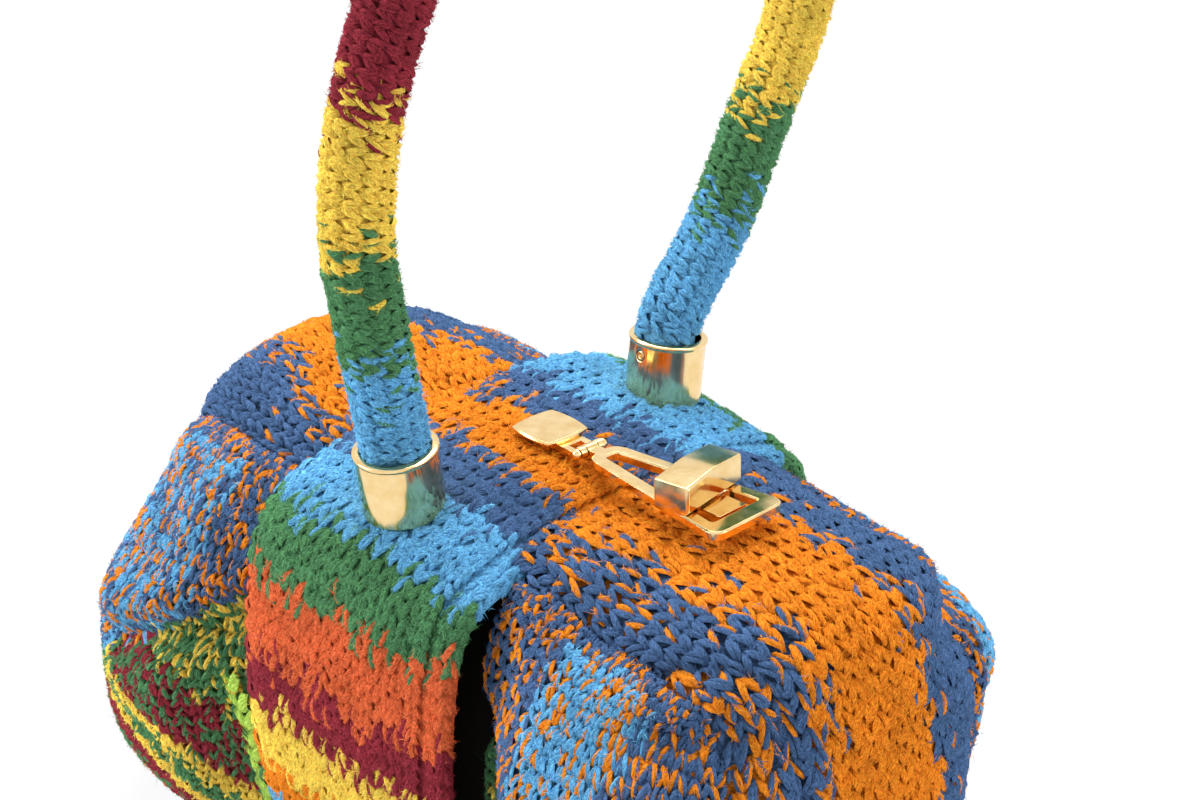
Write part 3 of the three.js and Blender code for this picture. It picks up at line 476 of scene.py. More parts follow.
BAND_STRIPES = [
    (-999, "claret"), (-222, "green"), (-205, "sky"), (-186, "orange"), (-167, "yellow"), (-147, "claret"),
    (-127, "rust"), (-98, "green"), (-72, "sky"), (-44, "navy"), (-20, "orange"), (8, "navy"), (28, "sky"),
    (68, "green"), (98, "rust"), (127, "claret"), (147, "yellow"), (167, "orange"), (186, "sky"), (205, "green"),
    (222, "claret"),
]
HANDLE_STRIPES = [
    (-999, "sky"), (48, "green"), (84, "yellow"), (124, "claret"), (172, "rust"), (208, "green"), (244, "sky"),
    (280, "navy"), (316, "orange"), (350, "claret"), (386, "yellow"), (456, "green"), (494, "sky"),
]
LOW_FACE_STRIPES = [
    (-999, "navy"), (8, "rust"), (18, "green"), (28, "claret"), (41, "yellow"), (49, "green"), (59, "yellow"),
    (68, "claret"), (94, "green"),
]
LOW_STRIPE_BEND, LOW_STRIPE_SLOPE, LOW_STRIPE_STEEP = 80, 0.39, 0.8
RIGHT_STRIP_STRIPES = [(-999, "navy"), (-25, "orange"), (20, "navy")]
LEFT_STRIP_STRIPES = [(-999, "navy"), (-24, "orange"), (20, "navy")]
BAND_BLUR, HANDLE_BLUR, STRIP_BLUR, LOW_FACE_BLUR = 7.0, 12.0, 10.0, 4.0

# Strips: their orange widens towards the band on the right, and away from it on the left.
RIGHT_WIDENS, RIGHT_WIDENS_BY, RIGHT_BLUR_BY_BAND = (62, 118), 0.3, 5
LEFT_WIDENS_FROM, LEFT_WIDENS_REACH = 100, 50
LEFT_FRONT_WIDENS, LEFT_BACK_WIDENS = 0.016, 0.01

# Shares of the second yarn where two are worked together, and the heights above which the low stripes mix.
# The navy share in the left face's sky patch is partly the yarn's own mix and partly painted shade.
SPECKLE, CREASE_SPECKLE, LEFT_SPECKLE, SKY_SPECKLE, SKY_PAINTED_SHADE = 0.36, 0.24, 0.34, 0.24, 0.38
CLARET_MIX, CLARET_MIX_FROM = 0.45, 60
GREEN_MIX, GREEN_MIX_FROM = 0.3, 92
CHAIN_FLECK, BASE_FLECK = 0.08, 0.12

# Sky patch of each face: how far from the middle and past the crease it lies, and how ragged its edges are.
RIGHT_SKY_FROM, RIGHT_SKY_FROM_RAG = 73, 4
RIGHT_SKY_TO, RIGHT_SKY_TO_RAG = 112, 6
RIGHT_SKY_PAST, RIGHT_SKY_PAST_BACK = 5, 12
LEFT_SKY_FROM, LEFT_SKY_FROM_RAG, LEFT_SKY_PAST = 70, 8, 9

# Change from the speckled top of a face to its low stripes: its height by the band, its slope and its raggedness.
CHANGE_FROM = 62
RIGHT_CHANGE, RIGHT_CHANGE_SLOPE, RIGHT_CHANGE_RAG = 112, 0.62, 6
LEFT_CHANGE, LEFT_CHANGE_SLOPE, LEFT_CHANGE_RAG = 124, 0.67, 5


def band_yarn(point, across, length, chance):
    return striped(length, BAND_STRIPES, chance, BAND_BLUR)


def handle_yarn(point, across, length, chance):
    return striped(length, HANDLE_STRIPES, chance, HANDLE_BLUR)


def right_strip_yarn(point, across, length, chance):
    x, y = point[..., 0], point[..., 1]
    near_band = 1 - ease(x, *RIGHT_WIDENS)
    narrowed = np.where(y < 0, y * (1 - RIGHT_WIDENS_BY * near_band), y)
    strip = striped(narrowed, RIGHT_STRIP_STRIPES, chance, STRIP_BLUR + RIGHT_BLUR_BY_BAND * near_band)
    return np.where(y < right_seam(x), pick("navy", "orange", SPECKLE, again(chance)), strip)


def left_strip_yarn(point, across, length, chance):
    reach = np.clip(LEFT_WIDENS_FROM + point[..., 0], 0, LEFT_WIDENS_REACH)
    y = point[..., 1]
    y = np.where(y < 0, y / (1 + reach * LEFT_FRONT_WIDENS), y / (1 + reach * LEFT_BACK_WIDENS))
    return striped(y, LEFT_STRIP_STRIPES, chance, STRIP_BLUR)


def low_face_yarn(x, z, chance):
    slope = np.where(x > LOW_STRIPE_BEND, LOW_STRIPE_SLOPE, LOW_STRIPE_STEEP)
    at = z - slope * (x - LOW_STRIPE_BEND)
    low = striped(at, LOW_FACE_STRIPES, chance, LOW_FACE_BLUR)
    claret = (low == YARN_NAMES.index("claret")) & (at > CLARET_MIX_FROM)
    low = np.where(claret, pick("claret", "green", CLARET_MIX, again(chance)), low)
    green = (low == YARN_NAMES.index("green")) & (at > GREEN_MIX_FROM)
    return np.where(green, pick("green", "yellow", GREEN_MIX, again(chance)), low)


def right_face_yarn(point, across, length, chance):
    x, y, z = np.abs(point[..., 0]), point[..., 1], point[..., 2]
    past_crease = np.abs(y) - RIGHT_LOBE["half"]
    speckle = pick("navy", "orange", np.where(past_crease < RIGHT_SKY_PAST, CREASE_SPECKLE, SPECKLE), chance)
    front_sky = ((x > RIGHT_SKY_FROM + RIGHT_SKY_FROM_RAG * chance) & (x < RIGHT_SKY_TO - RIGHT_SKY_TO_RAG * chance)
                 & (past_crease > RIGHT_SKY_PAST))
    sky = np.where(y < 0, front_sky, past_crease > RIGHT_SKY_PAST_BACK)
    upper = np.where(sky, pick("sky", "orange", SKY_SPECKLE, again(chance)), speckle)
    change = RIGHT_CHANGE - RIGHT_CHANGE_SLOPE * (x - CHANGE_FROM)
    return np.where(z + RIGHT_CHANGE_RAG * chance > change, upper, low_face_yarn(x, z, chance))


def left_face_yarn(point, across, length, chance):
    x, z = np.abs(point[..., 0]), point[..., 2]
    past_crease = np.abs(point[..., 1]) - LEFT_LOBE["half"]
    speckle = pick("navy", "orange", LEFT_SPECKLE, chance)
    sky = (x > LEFT_SKY_FROM + LEFT_SKY_FROM_RAG * chance) & (past_crease > LEFT_SKY_PAST)
    # Navy worked into the left sky patch: partly the yarn's own mix, partly painted shade that darkens the patch.
    sky_painted_shade = pick("sky", "navy", SKY_PAINTED_SHADE, again(chance, 13.7))
    upper = np.where(sky, np.where(again(chance) < SKY_SPECKLE, YARN_NAMES.index("orange"), sky_painted_shade), speckle)
    change = LEFT_CHANGE - LEFT_CHANGE_SLOPE * (x - CHANGE_FROM)
    return np.where(z + LEFT_CHANGE_RAG * chance > change, upper, low_face_yarn(x, z, chance))


def chain_yarn(point, across, length, chance):
    return pick("lime", "green", CHAIN_FLECK, chance)


def base_yarn(point, across, length, chance):
    return pick("navy", "claret", BASE_FLECK, chance)


# ---------------------------------------------------------------- crochet
# One stitch is a V of two legs, and each leg is two strands of yarn that come out of the cloth and dive back in.
# Strand points are (across in stitch widths, up in row heights, out in millimetres).
LEG_INNER = [(0.03, -0.10, -1.5), (0.09, 0.20, -0.3), (0.20, 0.52, 0.0), (0.33, 0.86, -0.2), (0.43, 1.16, -1.5)]
LEG_OUTER = [(0.15, -0.06, -1.5), (0.25, 0.18, -0.45), (0.36, 0.45, -0.15), (0.46, 0.76, -0.35), (0.53, 1.04, -1.5)]
SWELL = np.array([0.72, 1.0, 1.1, 1.0, 0.72])
RING = np.radians([-100, 0, 100])
TWIST = 0.7
SMALL_STEP = 0.06  # of a stitch, to find which way a surface faces
WOOL_STOCK = 400  # strands and fibres start at random within this length of the fibre pattern
# How stitches and strands vary, for cloth of common looseness.
TILT_VARIES, SIZE_VARIES, STITCH_STRAYS, STRAND_STRAYS = 0.10, 0.06, 0.05, 0.045
HEIGHT_VARIES, THICKNESS_VARIES = 0.2, 0.11
# Stray fibres are drawn 0.22 mm wide where they leave the strand, so that they show.
NAP_WIDTH = 0.22
NAP_ROUND, NAP_SLIDES, NAP_SLANTS, NAP_STANDS = 0.95, 0.6, 0.8, (0.04, 0.17)
NAP_SHORTEST, NAP_LENGTHS = 0.5, (2.0, 0.45)
NAP_PATTERN = np.array([[0, 0], [0, 0.2], [2, 0.1]])


def mirrored(strand):
    return [(-u, v, h) for u, v, h in strand]


STITCH = np.array([LEG_INNER, mirrored(LEG_INNER), LEG_OUTER, mirrored(LEG_OUTER)])
laid_strands = {}


def unit(v):
    return v / np.maximum(np.linalg.norm(v, axis=-1), 1e-9)[..., None]


def add_mesh(name, points, faces, uv, finish_index, finishes):
    """A smooth piece of the bag from arrays. Faces all have the same number of corners."""
    corners = faces.shape[1]
    mesh = bpy.data.meshes.new(name)
    mesh.vertices.add(len(points))
    mesh.vertices.foreach_set("co", (points * MM).astype(np.float32).ravel())
    mesh.loops.add(faces.size)
    mesh.loops.foreach_set("vertex_index", faces.astype(np.int32).ravel())
    mesh.polygons.add(len(faces))
    mesh.polygons.foreach_set("loop_start", np.arange(0, faces.size, corners, dtype=np.int32))
    mesh.polygons.foreach_set("material_index", finish_index.astype(np.int32))
    mesh.polygons.foreach_set("use_smooth", np.ones(len(faces), bool))
    layer = mesh.uv_layers.new(name="strand")
    layer.data.foreach_set("uv", uv[faces.ravel()].astype(np.float32).ravel())
    for finish in finishes:
        mesh.materials.append(finish)
    mesh.update()
    mesh.validate()
    piece = bpy.data.objects.new(name, mesh)
    bpy.context.scene.collection.objects.link(piece)
    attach(piece, "body")


def crochet(name, stitches, size, place, yarn, radius=0.86, nap=50, loose=1.0, relief=None):
    """Lays stitches on a surface. stitches: centres in (columns, rows); size: stitch width and row height in
    millimetres; place: columns, rows to points; yarn: point, across, length and chance to a yarn number."""
    shape = (len(stitches), len(STITCH), len(SWELL))
    tilt = dice.normal(0, TILT_VARIES * loose, (shape[0], 1, 1))
    grow = 1 + dice.normal(0, SIZE_VARIES * loose, (shape[0], 1, 1))
    shift = dice.normal(0, STITCH_STRAYS * loose, (shape[0], 1, 1, 2))
    shift = shift + dice.normal(0, STRAND_STRAYS * loose, shape[:2] + (1, 2))
    across, up = STITCH[None, :, :, 0], (STITCH[None, :, :, 1] - 0.5) * grow
    u = stitches[:, 0][:, None, None] + across - tilt * up + shift[..., 0]
    v = stitches[:, 1][:, None, None] + up + tilt * across + shift[..., 1]
    h = np.broadcast_to(STITCH[None, :, :, 2], shape) + dice.normal(0, HEIGHT_VARIES * loose, shape[:2] + (1,))
    if relief is not None:
        h = h + relief(u, v)
    p = place(u, v)
    out = unit(np.cross(place(u + SMALL_STEP, v) - p, place(u, v + SMALL_STEP) - p))
    line = p + out * h[..., None]
    way = unit(np.gradient(line, axis=2))
    rise = unit(out - way * np.sum(out * way, -1)[..., None])
    side = np.cross(rise, way)
    thick = radius * SWELL * (1 + dice.normal(0, THICKNESS_VARIES, shape[:2] + (1,)))
    ring = rise[..., None, :] * np.cos(RING)[:, None] + side[..., None, :] * np.sin(RING)[:, None]
    points = line[..., None, :] + ring * thick[..., None, None]
    steps = np.linalg.norm(np.diff(line, axis=2), axis=-1)
    run = np.concatenate([np.zeros(shape[:2] + (1,)), np.cumsum(steps, 2)], 2)
    run = run + dice.uniform(0, WOOL_STOCK, shape[:2] + (1,))
    uv = np.stack(np.broadcast_arrays(run[..., None], RING * radius + TWIST * run[..., None]), -1)
    middle = p[:, :, 2]
    colour = yarn(middle, u[:, :, 2] * size[0], v[:, :, 2] * size[1], dice.uniform(0, 1, shape[:2]))
    first = np.arange(shape[0] * shape[1])[:, None, None] * (len(SWELL) * len(RING))
    corner = first + np.arange(len(SWELL) - 1)[None, :, None] * len(RING) + np.arange(len(RING) - 1)[None, None, :]
    faces = np.stack([corner, corner + 1, corner + 1 + len(RING), corner + len(RING)], -1).reshape(-1, 4)
    finish_index = np.repeat(colour.ravel(), (len(SWELL) - 1) * (len(RING) - 1))
    add_mesh(name, points.reshape(-1, 3), faces, uv.reshape(-1, 2), finish_index, strand_wool)
    laid_strands[name] = (middle.reshape(-1, 3), out[:, :, 2].reshape(-1, 3), colour.ravel())
    if nap:
        lay_nap(name.replace("stitches", "nap"), line, out, side, way, colour, radius, nap * shape[0])


def lay_nap(name, line, out, side, way, colour, radius, count):
    """Loose wool fibres rubbed up from the strands: thin slivers, most of them short and lying down."""
    stitch, strand = dice.integers(0, line.shape[0], count), dice.integers(0, line.shape[1], count)
    spot = dice.integers(1, line.shape[2] - 1, count)
    out, side, way = (field[stitch, strand, spot] for field in (out, side, way))
    normal = unit(out + side * dice.uniform(-NAP_ROUND, NAP_ROUND, (count, 1)))
    root = line[stitch, strand, spot] + radius * normal + way * dice.normal(0, NAP_SLIDES, (count, 1))
    run = unit(way * dice.choice([-1, 1], (count, 1)) + side * dice.normal(0, NAP_SLANTS, (count, 1)))
    length = NAP_SHORTEST + dice.gamma(*NAP_LENGTHS, (count, 1))
    tip = root + (run + normal * np.abs(dice.normal(*NAP_STANDS, (count, 1)))) * length
    wide = unit(np.cross(run, normal)) * NAP_WIDTH / 2
    points = np.stack([root - wide, root + wide, tip], 1).reshape(-1, 3)
    uv = np.tile(NAP_PATTERN, (count, 1)) + np.repeat(dice.uniform(0, WOOL_STOCK, (count, 1)), 3, 0)
    # The nap takes the paler nap wool: painted light.
    add_mesh(name, points, np.arange(3 * count).reshape(-1, 3), uv, colour[stitch, strand], nap_wool_painted_light)


def grid(columns, rows):
    c, r = np.meshgrid(columns, rows, indexing="ij")
    return np.stack([c.ravel(), r.ravel()], -1)


STITCH_WIDTH, ROW_HEIGHT = 6.2, 6.2

# Band: sixteen columns, the outer two turned round the edges. A groove sets off each edging, and on the side of the
# mouth a ridge stands beside it.
BAND_EDGE_COLUMNS = 8
RIGHT_GROOVE, RIGHT_GROOVE_DEPTH, RIGHT_GROOVE_SPREAD = 38.2, 1.5, 1.6
LEFT_GROOVE, LEFT_GROOVE_DEPTH, LEFT_GROOVE_SPREAD = -43.4, 1.7, 1.5
RIGHT_RIDGE, RIDGE_WIDTH, RIDGE_ROW, RIDGE_HEIGHT = 35.2, 3.6, 4.6, 1.0


def band_relief(u, v):
    x = -u * STITCH_WIDTH
    return (-RIGHT_GROOVE_DEPTH * mound(x, RIGHT_GROOVE, RIGHT_GROOVE_SPREAD)
            - LEFT_GROOVE_DEPTH * mound(x, LEFT_GROOVE, LEFT_GROOVE_SPREAD))


band_rows = int(BAND_MIDDLE / ROW_HEIGHT)
crochet("band_stitches",
        grid(np.arange(-BAND_EDGE_COLUMNS, BAND_EDGE_COLUMNS) + 0.5, np.arange(-band_rows, band_rows) + 0.5),
        (STITCH_WIDTH, -ROW_HEIGHT), lambda u, v: band_face(-u * STITCH_WIDTH, -v * ROW_HEIGHT), band_yarn,
        radius=0.95, nap=80, relief=band_relief)
ridge_rows = int(BAND_MIDDLE / RIDGE_ROW)
crochet("ridge_stitches", grid(np.array([0.0]), np.arange(-ridge_rows, ridge_rows) + 0.5),
        (RIDGE_WIDTH, -RIDGE_ROW), lambda u, v: band_face(RIGHT_RIDGE - u * RIDGE_WIDTH, -v * RIDGE_ROW), band_yarn,
        nap=30, relief=lambda u, v: RIDGE_HEIGHT + 0 * u)

# Strips: shown from under the band to just over the floor. The columns are spaced by length across the strip at its
# brow, at that many degrees. A sunken seam runs along the front edge of the right one.
STRIP_ANGLES, STRIP_BROW = (175, -88), 70
STRIP_UNDER_BAND, STRIP_LOW = 36, 10
STRIP_STEPS, BROW_STEPS = 1200, 401
SEAM_DEPTH, SEAM_SPREAD, SEAM_BEGINS = 3.0, 2.4, (52, 80)


def lay_strip(name, lobe, yarn):
    """Rows up the gusset strip by length, from under the band to the floor, and columns across it by length."""
    angles = np.radians(np.linspace(*STRIP_ANGLES, STRIP_STEPS))
    line = lobe_strip(lobe, np.zeros_like(angles), angles)
    length = lengths(line)
    shown = length[(np.abs(line[:, 0]) > STRIP_UNDER_BAND) & (line[:, 2] > STRIP_LOW)]
    shares = np.linspace(-1, 1, BROW_STEPS)
    brow = lobe_strip(lobe, shares, np.full_like(shares, math.radians(STRIP_BROW)))
    width = lengths(brow)
    columns = round(width[-1] / STITCH_WIDTH)
    rows = round((shown[-1] - shown[0]) / ROW_HEIGHT)

    def place(u, v):
        angle = np.interp(shown[0] + v * ROW_HEIGHT, length, angles)
        share = np.interp(width[-1] / 2 - u * STITCH_WIDTH, width, shares)
        return lobe_strip(lobe, share * lobe["side"], angle)

    def seam_relief(u, v):
        spot = place(u, v)
        x, y = spot[..., 0], spot[..., 1]
        return -SEAM_DEPTH * ease(x, *SEAM_BEGINS) * mound(y, right_seam(x), SEAM_SPREAD)

    crochet(name, grid(np.arange(columns) + 0.5 - columns / 2, np.arange(rows) + 0.5),
            (STITCH_WIDTH, ROW_HEIGHT), place, yarn, nap=44, loose=1.2,
            relief=seam_relief if lobe["side"] > 0 else None)


# Faces are worked finer than the rest. Where a corner stretches them apart, more stitches are worked in between.
FACE_STITCH, FACE_ROW = 4.6, 4.6
FACE_UNDER_BAND, FACE_LOW = 45, 9
FACE_STEPS, NEAR_NOTHING = 300, 1e-6
SPARSE = 1.35
BETWEEN = (0.5, 0.4)


def lay_face(name, lobe, facing, yarn):
    """Rows across a bellied face: they follow the crease at the top and run level below."""
    turns = np.radians(np.linspace(0, 90, FACE_STEPS))
    arcs = []
    for degrees in (90, 0):
        line = lobe_face(lobe, facing, turns, np.full_like(turns, math.radians(degrees)))
        arcs.append(lengths(line))
    up, out = arcs[0][-1], arcs[1][-1]
    share = (arcs[0] / up + arcs[1] / out) / 2
    half_x, half_z = lobe["length"] / 2, (TOP - lobe["drop"] - FLOOR_OF_LOBES) / 2
    hand = -lobe["side"] * facing

    def spread(u, v):
        a, b = hand * u * FACE_STITCH / out, v * FACE_ROW / up
        a, b = (np.where(np.abs(way) < NEAR_NOTHING, NEAR_NOTHING, way) for way in (a, b))
        power = lobe_power(a, b)
        return (np.abs(a) ** power + np.abs(b) ** power) ** (1 / power), np.arctan2(b * half_z, a * half_x)

    def place(u, v):
        reach, angle = spread(u, v)
        return lobe_face(lobe, facing, np.interp(reach, share, turns), angle)

    columns, rows = int(out / FACE_STITCH) + 1, int(up / FACE_ROW) + 1
    stitches = grid(np.arange(-columns, columns) + 0.5, np.arange(-rows, rows) + 0.5)
    spot = place(stitches[:, 0], stitches[:, 1])
    on_face = spread(stitches[:, 0], stitches[:, 1])[0] < 1.0
    stitches = stitches[on_face & (np.abs(spot[:, 0]) > FACE_UNDER_BAND) & (spot[:, 2] > FACE_LOW)]
    wide, tall = (np.linalg.norm(place(*(stitches + step).T) - place(*(stitches - step).T), axis=-1)
                  for step in (np.array([0.5, 0.0]), np.array([0.0, 0.5])))
    sparse = wide * tall > SPARSE * FACE_STITCH * FACE_ROW
    stitches = np.concatenate([stitches, stitches[sparse] + BETWEEN])
    crochet(name, stitches, (FACE_STITCH, FACE_ROW), place, yarn, radius=0.68, nap=22, loose=1.3)


lay_strip("right_strip_stitches", RIGHT_LOBE, right_strip_yarn)
lay_strip("left_strip_stitches", LEFT_LOBE, left_strip_yarn)
for side_name, lobe, yarn in (("right", RIGHT_LOBE, right_face_yarn), ("left", LEFT_LOBE, left_face_yarn)):
    for face_name, facing in (("front", -1), ("back", 1)):
        lay_face(f"{side_name}_{face_name}_stitches", lobe, facing, yarn)

# Joining chain: one column of bold stitches where each face of the left lobe meets the band.
CHAIN_WIDTH, CHAIN_ROW = 9.0, 6.4
CHAIN_LOW, CHAIN_HIGH, CHAIN_MARGIN = 12.0, 98.0, 4
CHAIN_PROUD = 1.2
CHAIN_TURNS, CHAIN_ANGLES, CHAIN_STEPS = (5, 89, 160), (-140, 230, 740), 60
CHAIN_HEIGHTS, CHAIN_FROM_BAND = (12.0, 48.0, 59.0, 70.0, 79.0, 98.0), (50.0, 50.5, 53.5, 55.5, 57.5, 61.0)


def lay_chain(name, facing):
    """Lays the chain on the nearest cloth of the face, a little proud of it."""
    turn, angle = np.meshgrid(np.radians(np.linspace(*CHAIN_TURNS)), np.radians(np.linspace(*CHAIN_ANGLES)))
    cloth = lobe_face(LEFT_LOBE, facing, turn, angle).reshape(-1, 3)
    heights = np.linspace(CHAIN_LOW - CHAIN_MARGIN, CHAIN_HIGH + CHAIN_MARGIN, CHAIN_STEPS)
    from_band = np.interp(heights, CHAIN_HEIGHTS, CHAIN_FROM_BAND)
    depths = [cloth[np.argmin((np.abs(cloth[:, 0]) - x) ** 2 + (cloth[:, 2] - z) ** 2), 1]
              for x, z in zip(from_band, heights)]

    def place(u, v):
        z = CHAIN_LOW + v * CHAIN_ROW
        x = -np.interp(z, heights, from_band) - facing * u * CHAIN_WIDTH
        return np.stack([x, np.interp(z, heights, depths) + facing * CHAIN_PROUD, z], -1)

    rows = int((CHAIN_HIGH - CHAIN_LOW) / CHAIN_ROW)
    crochet(name, grid(np.array([0.0]), np.arange(rows) + 0.5), (CHAIN_WIDTH, CHAIN_ROW), place,
            chain_yarn, radius=1.35)


lay_chain("front_chain_stitches", -1)
lay_chain("back_chain_stitches", 1)

# Handle cover: worked in rounds, so its stitches lie round the rope, with a slant of three columns in each round.
HANDLE_ROUND = 12
HANDLE_COLUMN = 4.7
SLANT_COLUMNS = 3
HANDLE_SLANT = SLANT_COLUMNS / HANDLE_ROUND
handle_columns = int((HANDLE_LENGTH - 2 * SLEEVE_START) / HANDLE_COLUMN)


def handle_length(u, v):
    return SLEEVE_START + (u + HANDLE_SLANT * v) * HANDLE_COLUMN


handle_stitches = grid(np.arange(-SLANT_COLUMNS, handle_columns) + 0.5, np.arange(HANDLE_ROUND) + 0.5)
handle_spots = handle_length(handle_stitches[:, 0], handle_stitches[:, 1])
handle_stitches = handle_stitches[(handle_spots > SLEEVE_START) & (handle_spots < HANDLE_LENGTH - SLEEVE_START)]
crochet("handle_stitches", handle_stitches, (1.0, 1.0),
        lambda u, v: handle_face(v * 2 * math.pi / HANDLE_ROUND, handle_length(u, v)),
        lambda point, across, length, chance: handle_yarn(point, across, handle_length(across, length), chance),
        radius=0.8, nap=40)

# Base: bold level rows on the underside, kept off the floor, and one round on its rim.
BASE_HALF_X, BASE_HALF_Y, BASE_CORNER = 115.0, 58.0, 46.0
BASE_STITCH = 7.4
BASE_LOW, BASE_MARGIN = 1.9, 5.5
BASE_COLUMNS, BASE_ROWS = 16, 8
RIM_LOW, RIM_HEIGHT, RIM_SINK, RIM_STEPS = 1.6, 4.6, 0.4, 721


def inside_base(x, y, margin):
    """Whether a spot lies on the base, at least margin inside its rim."""
    over_x = np.maximum(np.abs(x) - (BASE_HALF_X - BASE_CORNER), 0)
    over_y = np.maximum(np.abs(y) - (BASE_HALF_Y - BASE_CORNER), 0)
    return np.hypot(over_x, over_y) < BASE_CORNER - margin


base_stitches = grid(np.arange(-BASE_COLUMNS, BASE_COLUMNS) + 0.5, np.arange(-BASE_ROWS, BASE_ROWS) + 0.5)
base_stitches = base_stitches[inside_base(*(base_stitches * BASE_STITCH).T, BASE_MARGIN)]
crochet("base_stitches", base_stitches, (BASE_STITCH, BASE_STITCH),
        lambda u, v: np.stack([-u * BASE_STITCH, v * BASE_STITCH, BASE_LOW + 0 * u], -1), base_yarn, nap=0, loose=0.6)

rim_turn = np.radians(np.linspace(0, 360, RIM_STEPS))
rim_x = np.sign(np.cos(rim_turn)) * (BASE_HALF_X - BASE_CORNER) + BASE_CORNER * np.cos(rim_turn)
rim_y = np.sign(np.sin(rim_turn)) * (BASE_HALF_Y - BASE_CORNER) + BASE_CORNER * np.sin(rim_turn)
rim_length = np.concatenate([[0], np.cumsum(np.hypot(np.diff(rim_x), np.diff(rim_y)))])
rim_count = round(rim_length[-1] / STITCH_WIDTH)
rim_step = rim_length[-1] / rim_count


def rim_face(u, v):
    s = (u * rim_step) % rim_length[-1]
    return np.stack([np.interp(s, rim_length, rim_x), np.interp(s, rim_length, rim_y), RIM_LOW + v * RIM_HEIGHT], -1)


crochet("base_rim_stitches", grid(np.arange(rim_count) + 0.5, np.array([0.5])), (rim_step, RIM_HEIGHT),
        rim_face, base_yarn, nap=0, loose=0.6, relief=lambda u, v: -RIM_SINK + 0 * u)

# ---------------------------------------------------------------- cloth behind the stitches
# How far the ground lies behind the stitches, and further along the folds and the seam, where the cloth draws in.
GROUND_SINK, BAND_SINK, BASE_SINK = 1.1, 0.7, 2.3
FOLD_SINK, FOLD_SINK_SPREAD = 4.6, 22
SEAM_SINK, SEAM_SINK_SPREAD = 4.2, 15
FACE_BEFORE_CREASE, FACE_PAST_CREASE = 4, 12
# Facets near the strands, and turned as they are, are wool. So are those that face down under the lobes, in navy.
# The rest is lining, in black: painted shade where the mouth and the gaps look into the bag.
WOOL_REACH, WOOL_TURN = 9.0, -0.3
UNDERSIDE, FACING_DOWN = 14.0, -0.5
SAME_SPOT = 0.01


def ground_cloth(name, node, strand_sets, sink, lobe=None):
    """The body of the fabric: the node's own shape, sunk behind the stitches, dyed as they are, lined inside."""
    shape = bmesh.new()
    shape.from_mesh(frame["nodes"][node].data)
    bmesh.ops.remove_doubles(shape, verts=shape.verts, dist=SAME_SPOT * MM)
    bmesh.ops.recalc_face_normals(shape, faces=shape.faces)
    spots = np.array([(v.co - v.normal * sink * MM) / MM for v in shape.verts])
    if lobe is not None:
        x, z = np.abs(spots[:, 0]), spots[:, 2]
        on_face = ease(np.abs(spots[:, 1]), lobe["half"] - FACE_BEFORE_CREASE, lobe["half"] + FACE_PAST_CREASE)
        under = FOLD_SINK * mound(z, fold_height(lobe, x), FOLD_SINK_SPREAD)
        spots[:, 1] -= np.sign(spots[:, 1]) * on_face * (tucked(lobe, x, z) + under)
        if lobe["side"] > 0:
            inward = unit(np.stack([LOBE_START + lobe["length"] / 2 - x, 0 * x, TOP / 2 - z], -1))
            by_seam = ease(x, *SEAM_BEGINS) * mound(spots[:, 1], right_seam(x), SEAM_SINK_SPREAD)
            spots += inward * SEAM_SINK * by_seam[:, None]
        spots = slouch(spots)
    for vert, spot in zip(shape.verts, spots):
        vert.co = spot * MM
    mesh = bpy.data.meshes.new(name)
    shape.to_mesh(mesh)
    shape.free()
    middles, outs, colours = (np.concatenate(rows) for rows in zip(*[laid_strands[s] for s in strand_sets]))
    tree = KDTree(len(middles))
    for i, spot in enumerate(middles):
        tree.insert(Vector(spot * MM), i)
    tree.balance()
    # Faces with no strand near them take the black lining: painted shade.
    for finish in strand_wool + [black_lining_painted_shade]:
        mesh.materials.append(finish)
    for face in mesh.polygons:
        _, nearest, gap = tree.find(face.center)
        woolly = gap < WOOL_REACH * MM and face.normal.dot(Vector(outs[nearest])) > WOOL_TURN
        face.material_index = int(colours[nearest]) if woolly else len(strand_wool)
        if lobe is not None and face.normal.z < FACING_DOWN and face.center.z < UNDERSIDE * MM:
            face.material_index = YARN_NAMES.index("navy")
        face.use_smooth = True
    layer = mesh.uv_layers.new(name="strand")
    for loop in mesh.loops:
        spot = mesh.vertices[loop.vertex_index].co
        layer.data[loop.index].uv = ((spot.x + spot.y) / MM, spot.z / MM)
    piece = bpy.data.objects.new(name, mesh)
    bpy.context.scene.collection.objects.link(piece)
    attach(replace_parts(piece, node), "body")


ground_cloth("band_ground", "band", ["band_stitches"], BAND_SINK)
ground_cloth("right_lobe_ground", "right_lobe",
             ["right_strip_stitches", "right_front_stitches", "right_back_stitches"], GROUND_SINK, RIGHT_LOBE)
ground_cloth("left_lobe_ground", "left_lobe",
             ["left_strip_stitches", "left_front_stitches", "left_back_stitches"], GROUND_SINK, LEFT_LOBE)
ground_cloth("handle_ground", "handle_sleeve", ["handle_stitches"], GROUND_SINK)
ground_cloth("base_ground", "base_panel", ["base_stitches", "base_rim_stitches"], BASE_SINK)

# Lining: one black pouch through both lobes and under the band, seen only as darkness in the gaps beside the band.
# Its black is painted shade.
POUCH_HALF_X, POUCH_HALF_Y, POUCH_LOW, POUCH_HIGH = 78.0, 56.0, 9.0, 155.0
POUCH_ROUNDS, POUCH_COLUMNS = 28, 48
POUCH_SQUARE, POUCH_BLUNT, POUCH_END = 3, 0.35, 86
POUCH_CREASE, POUCH_CREASES_ROUND, POUCH_CREASES_ALONG = 0.03, 5, 9


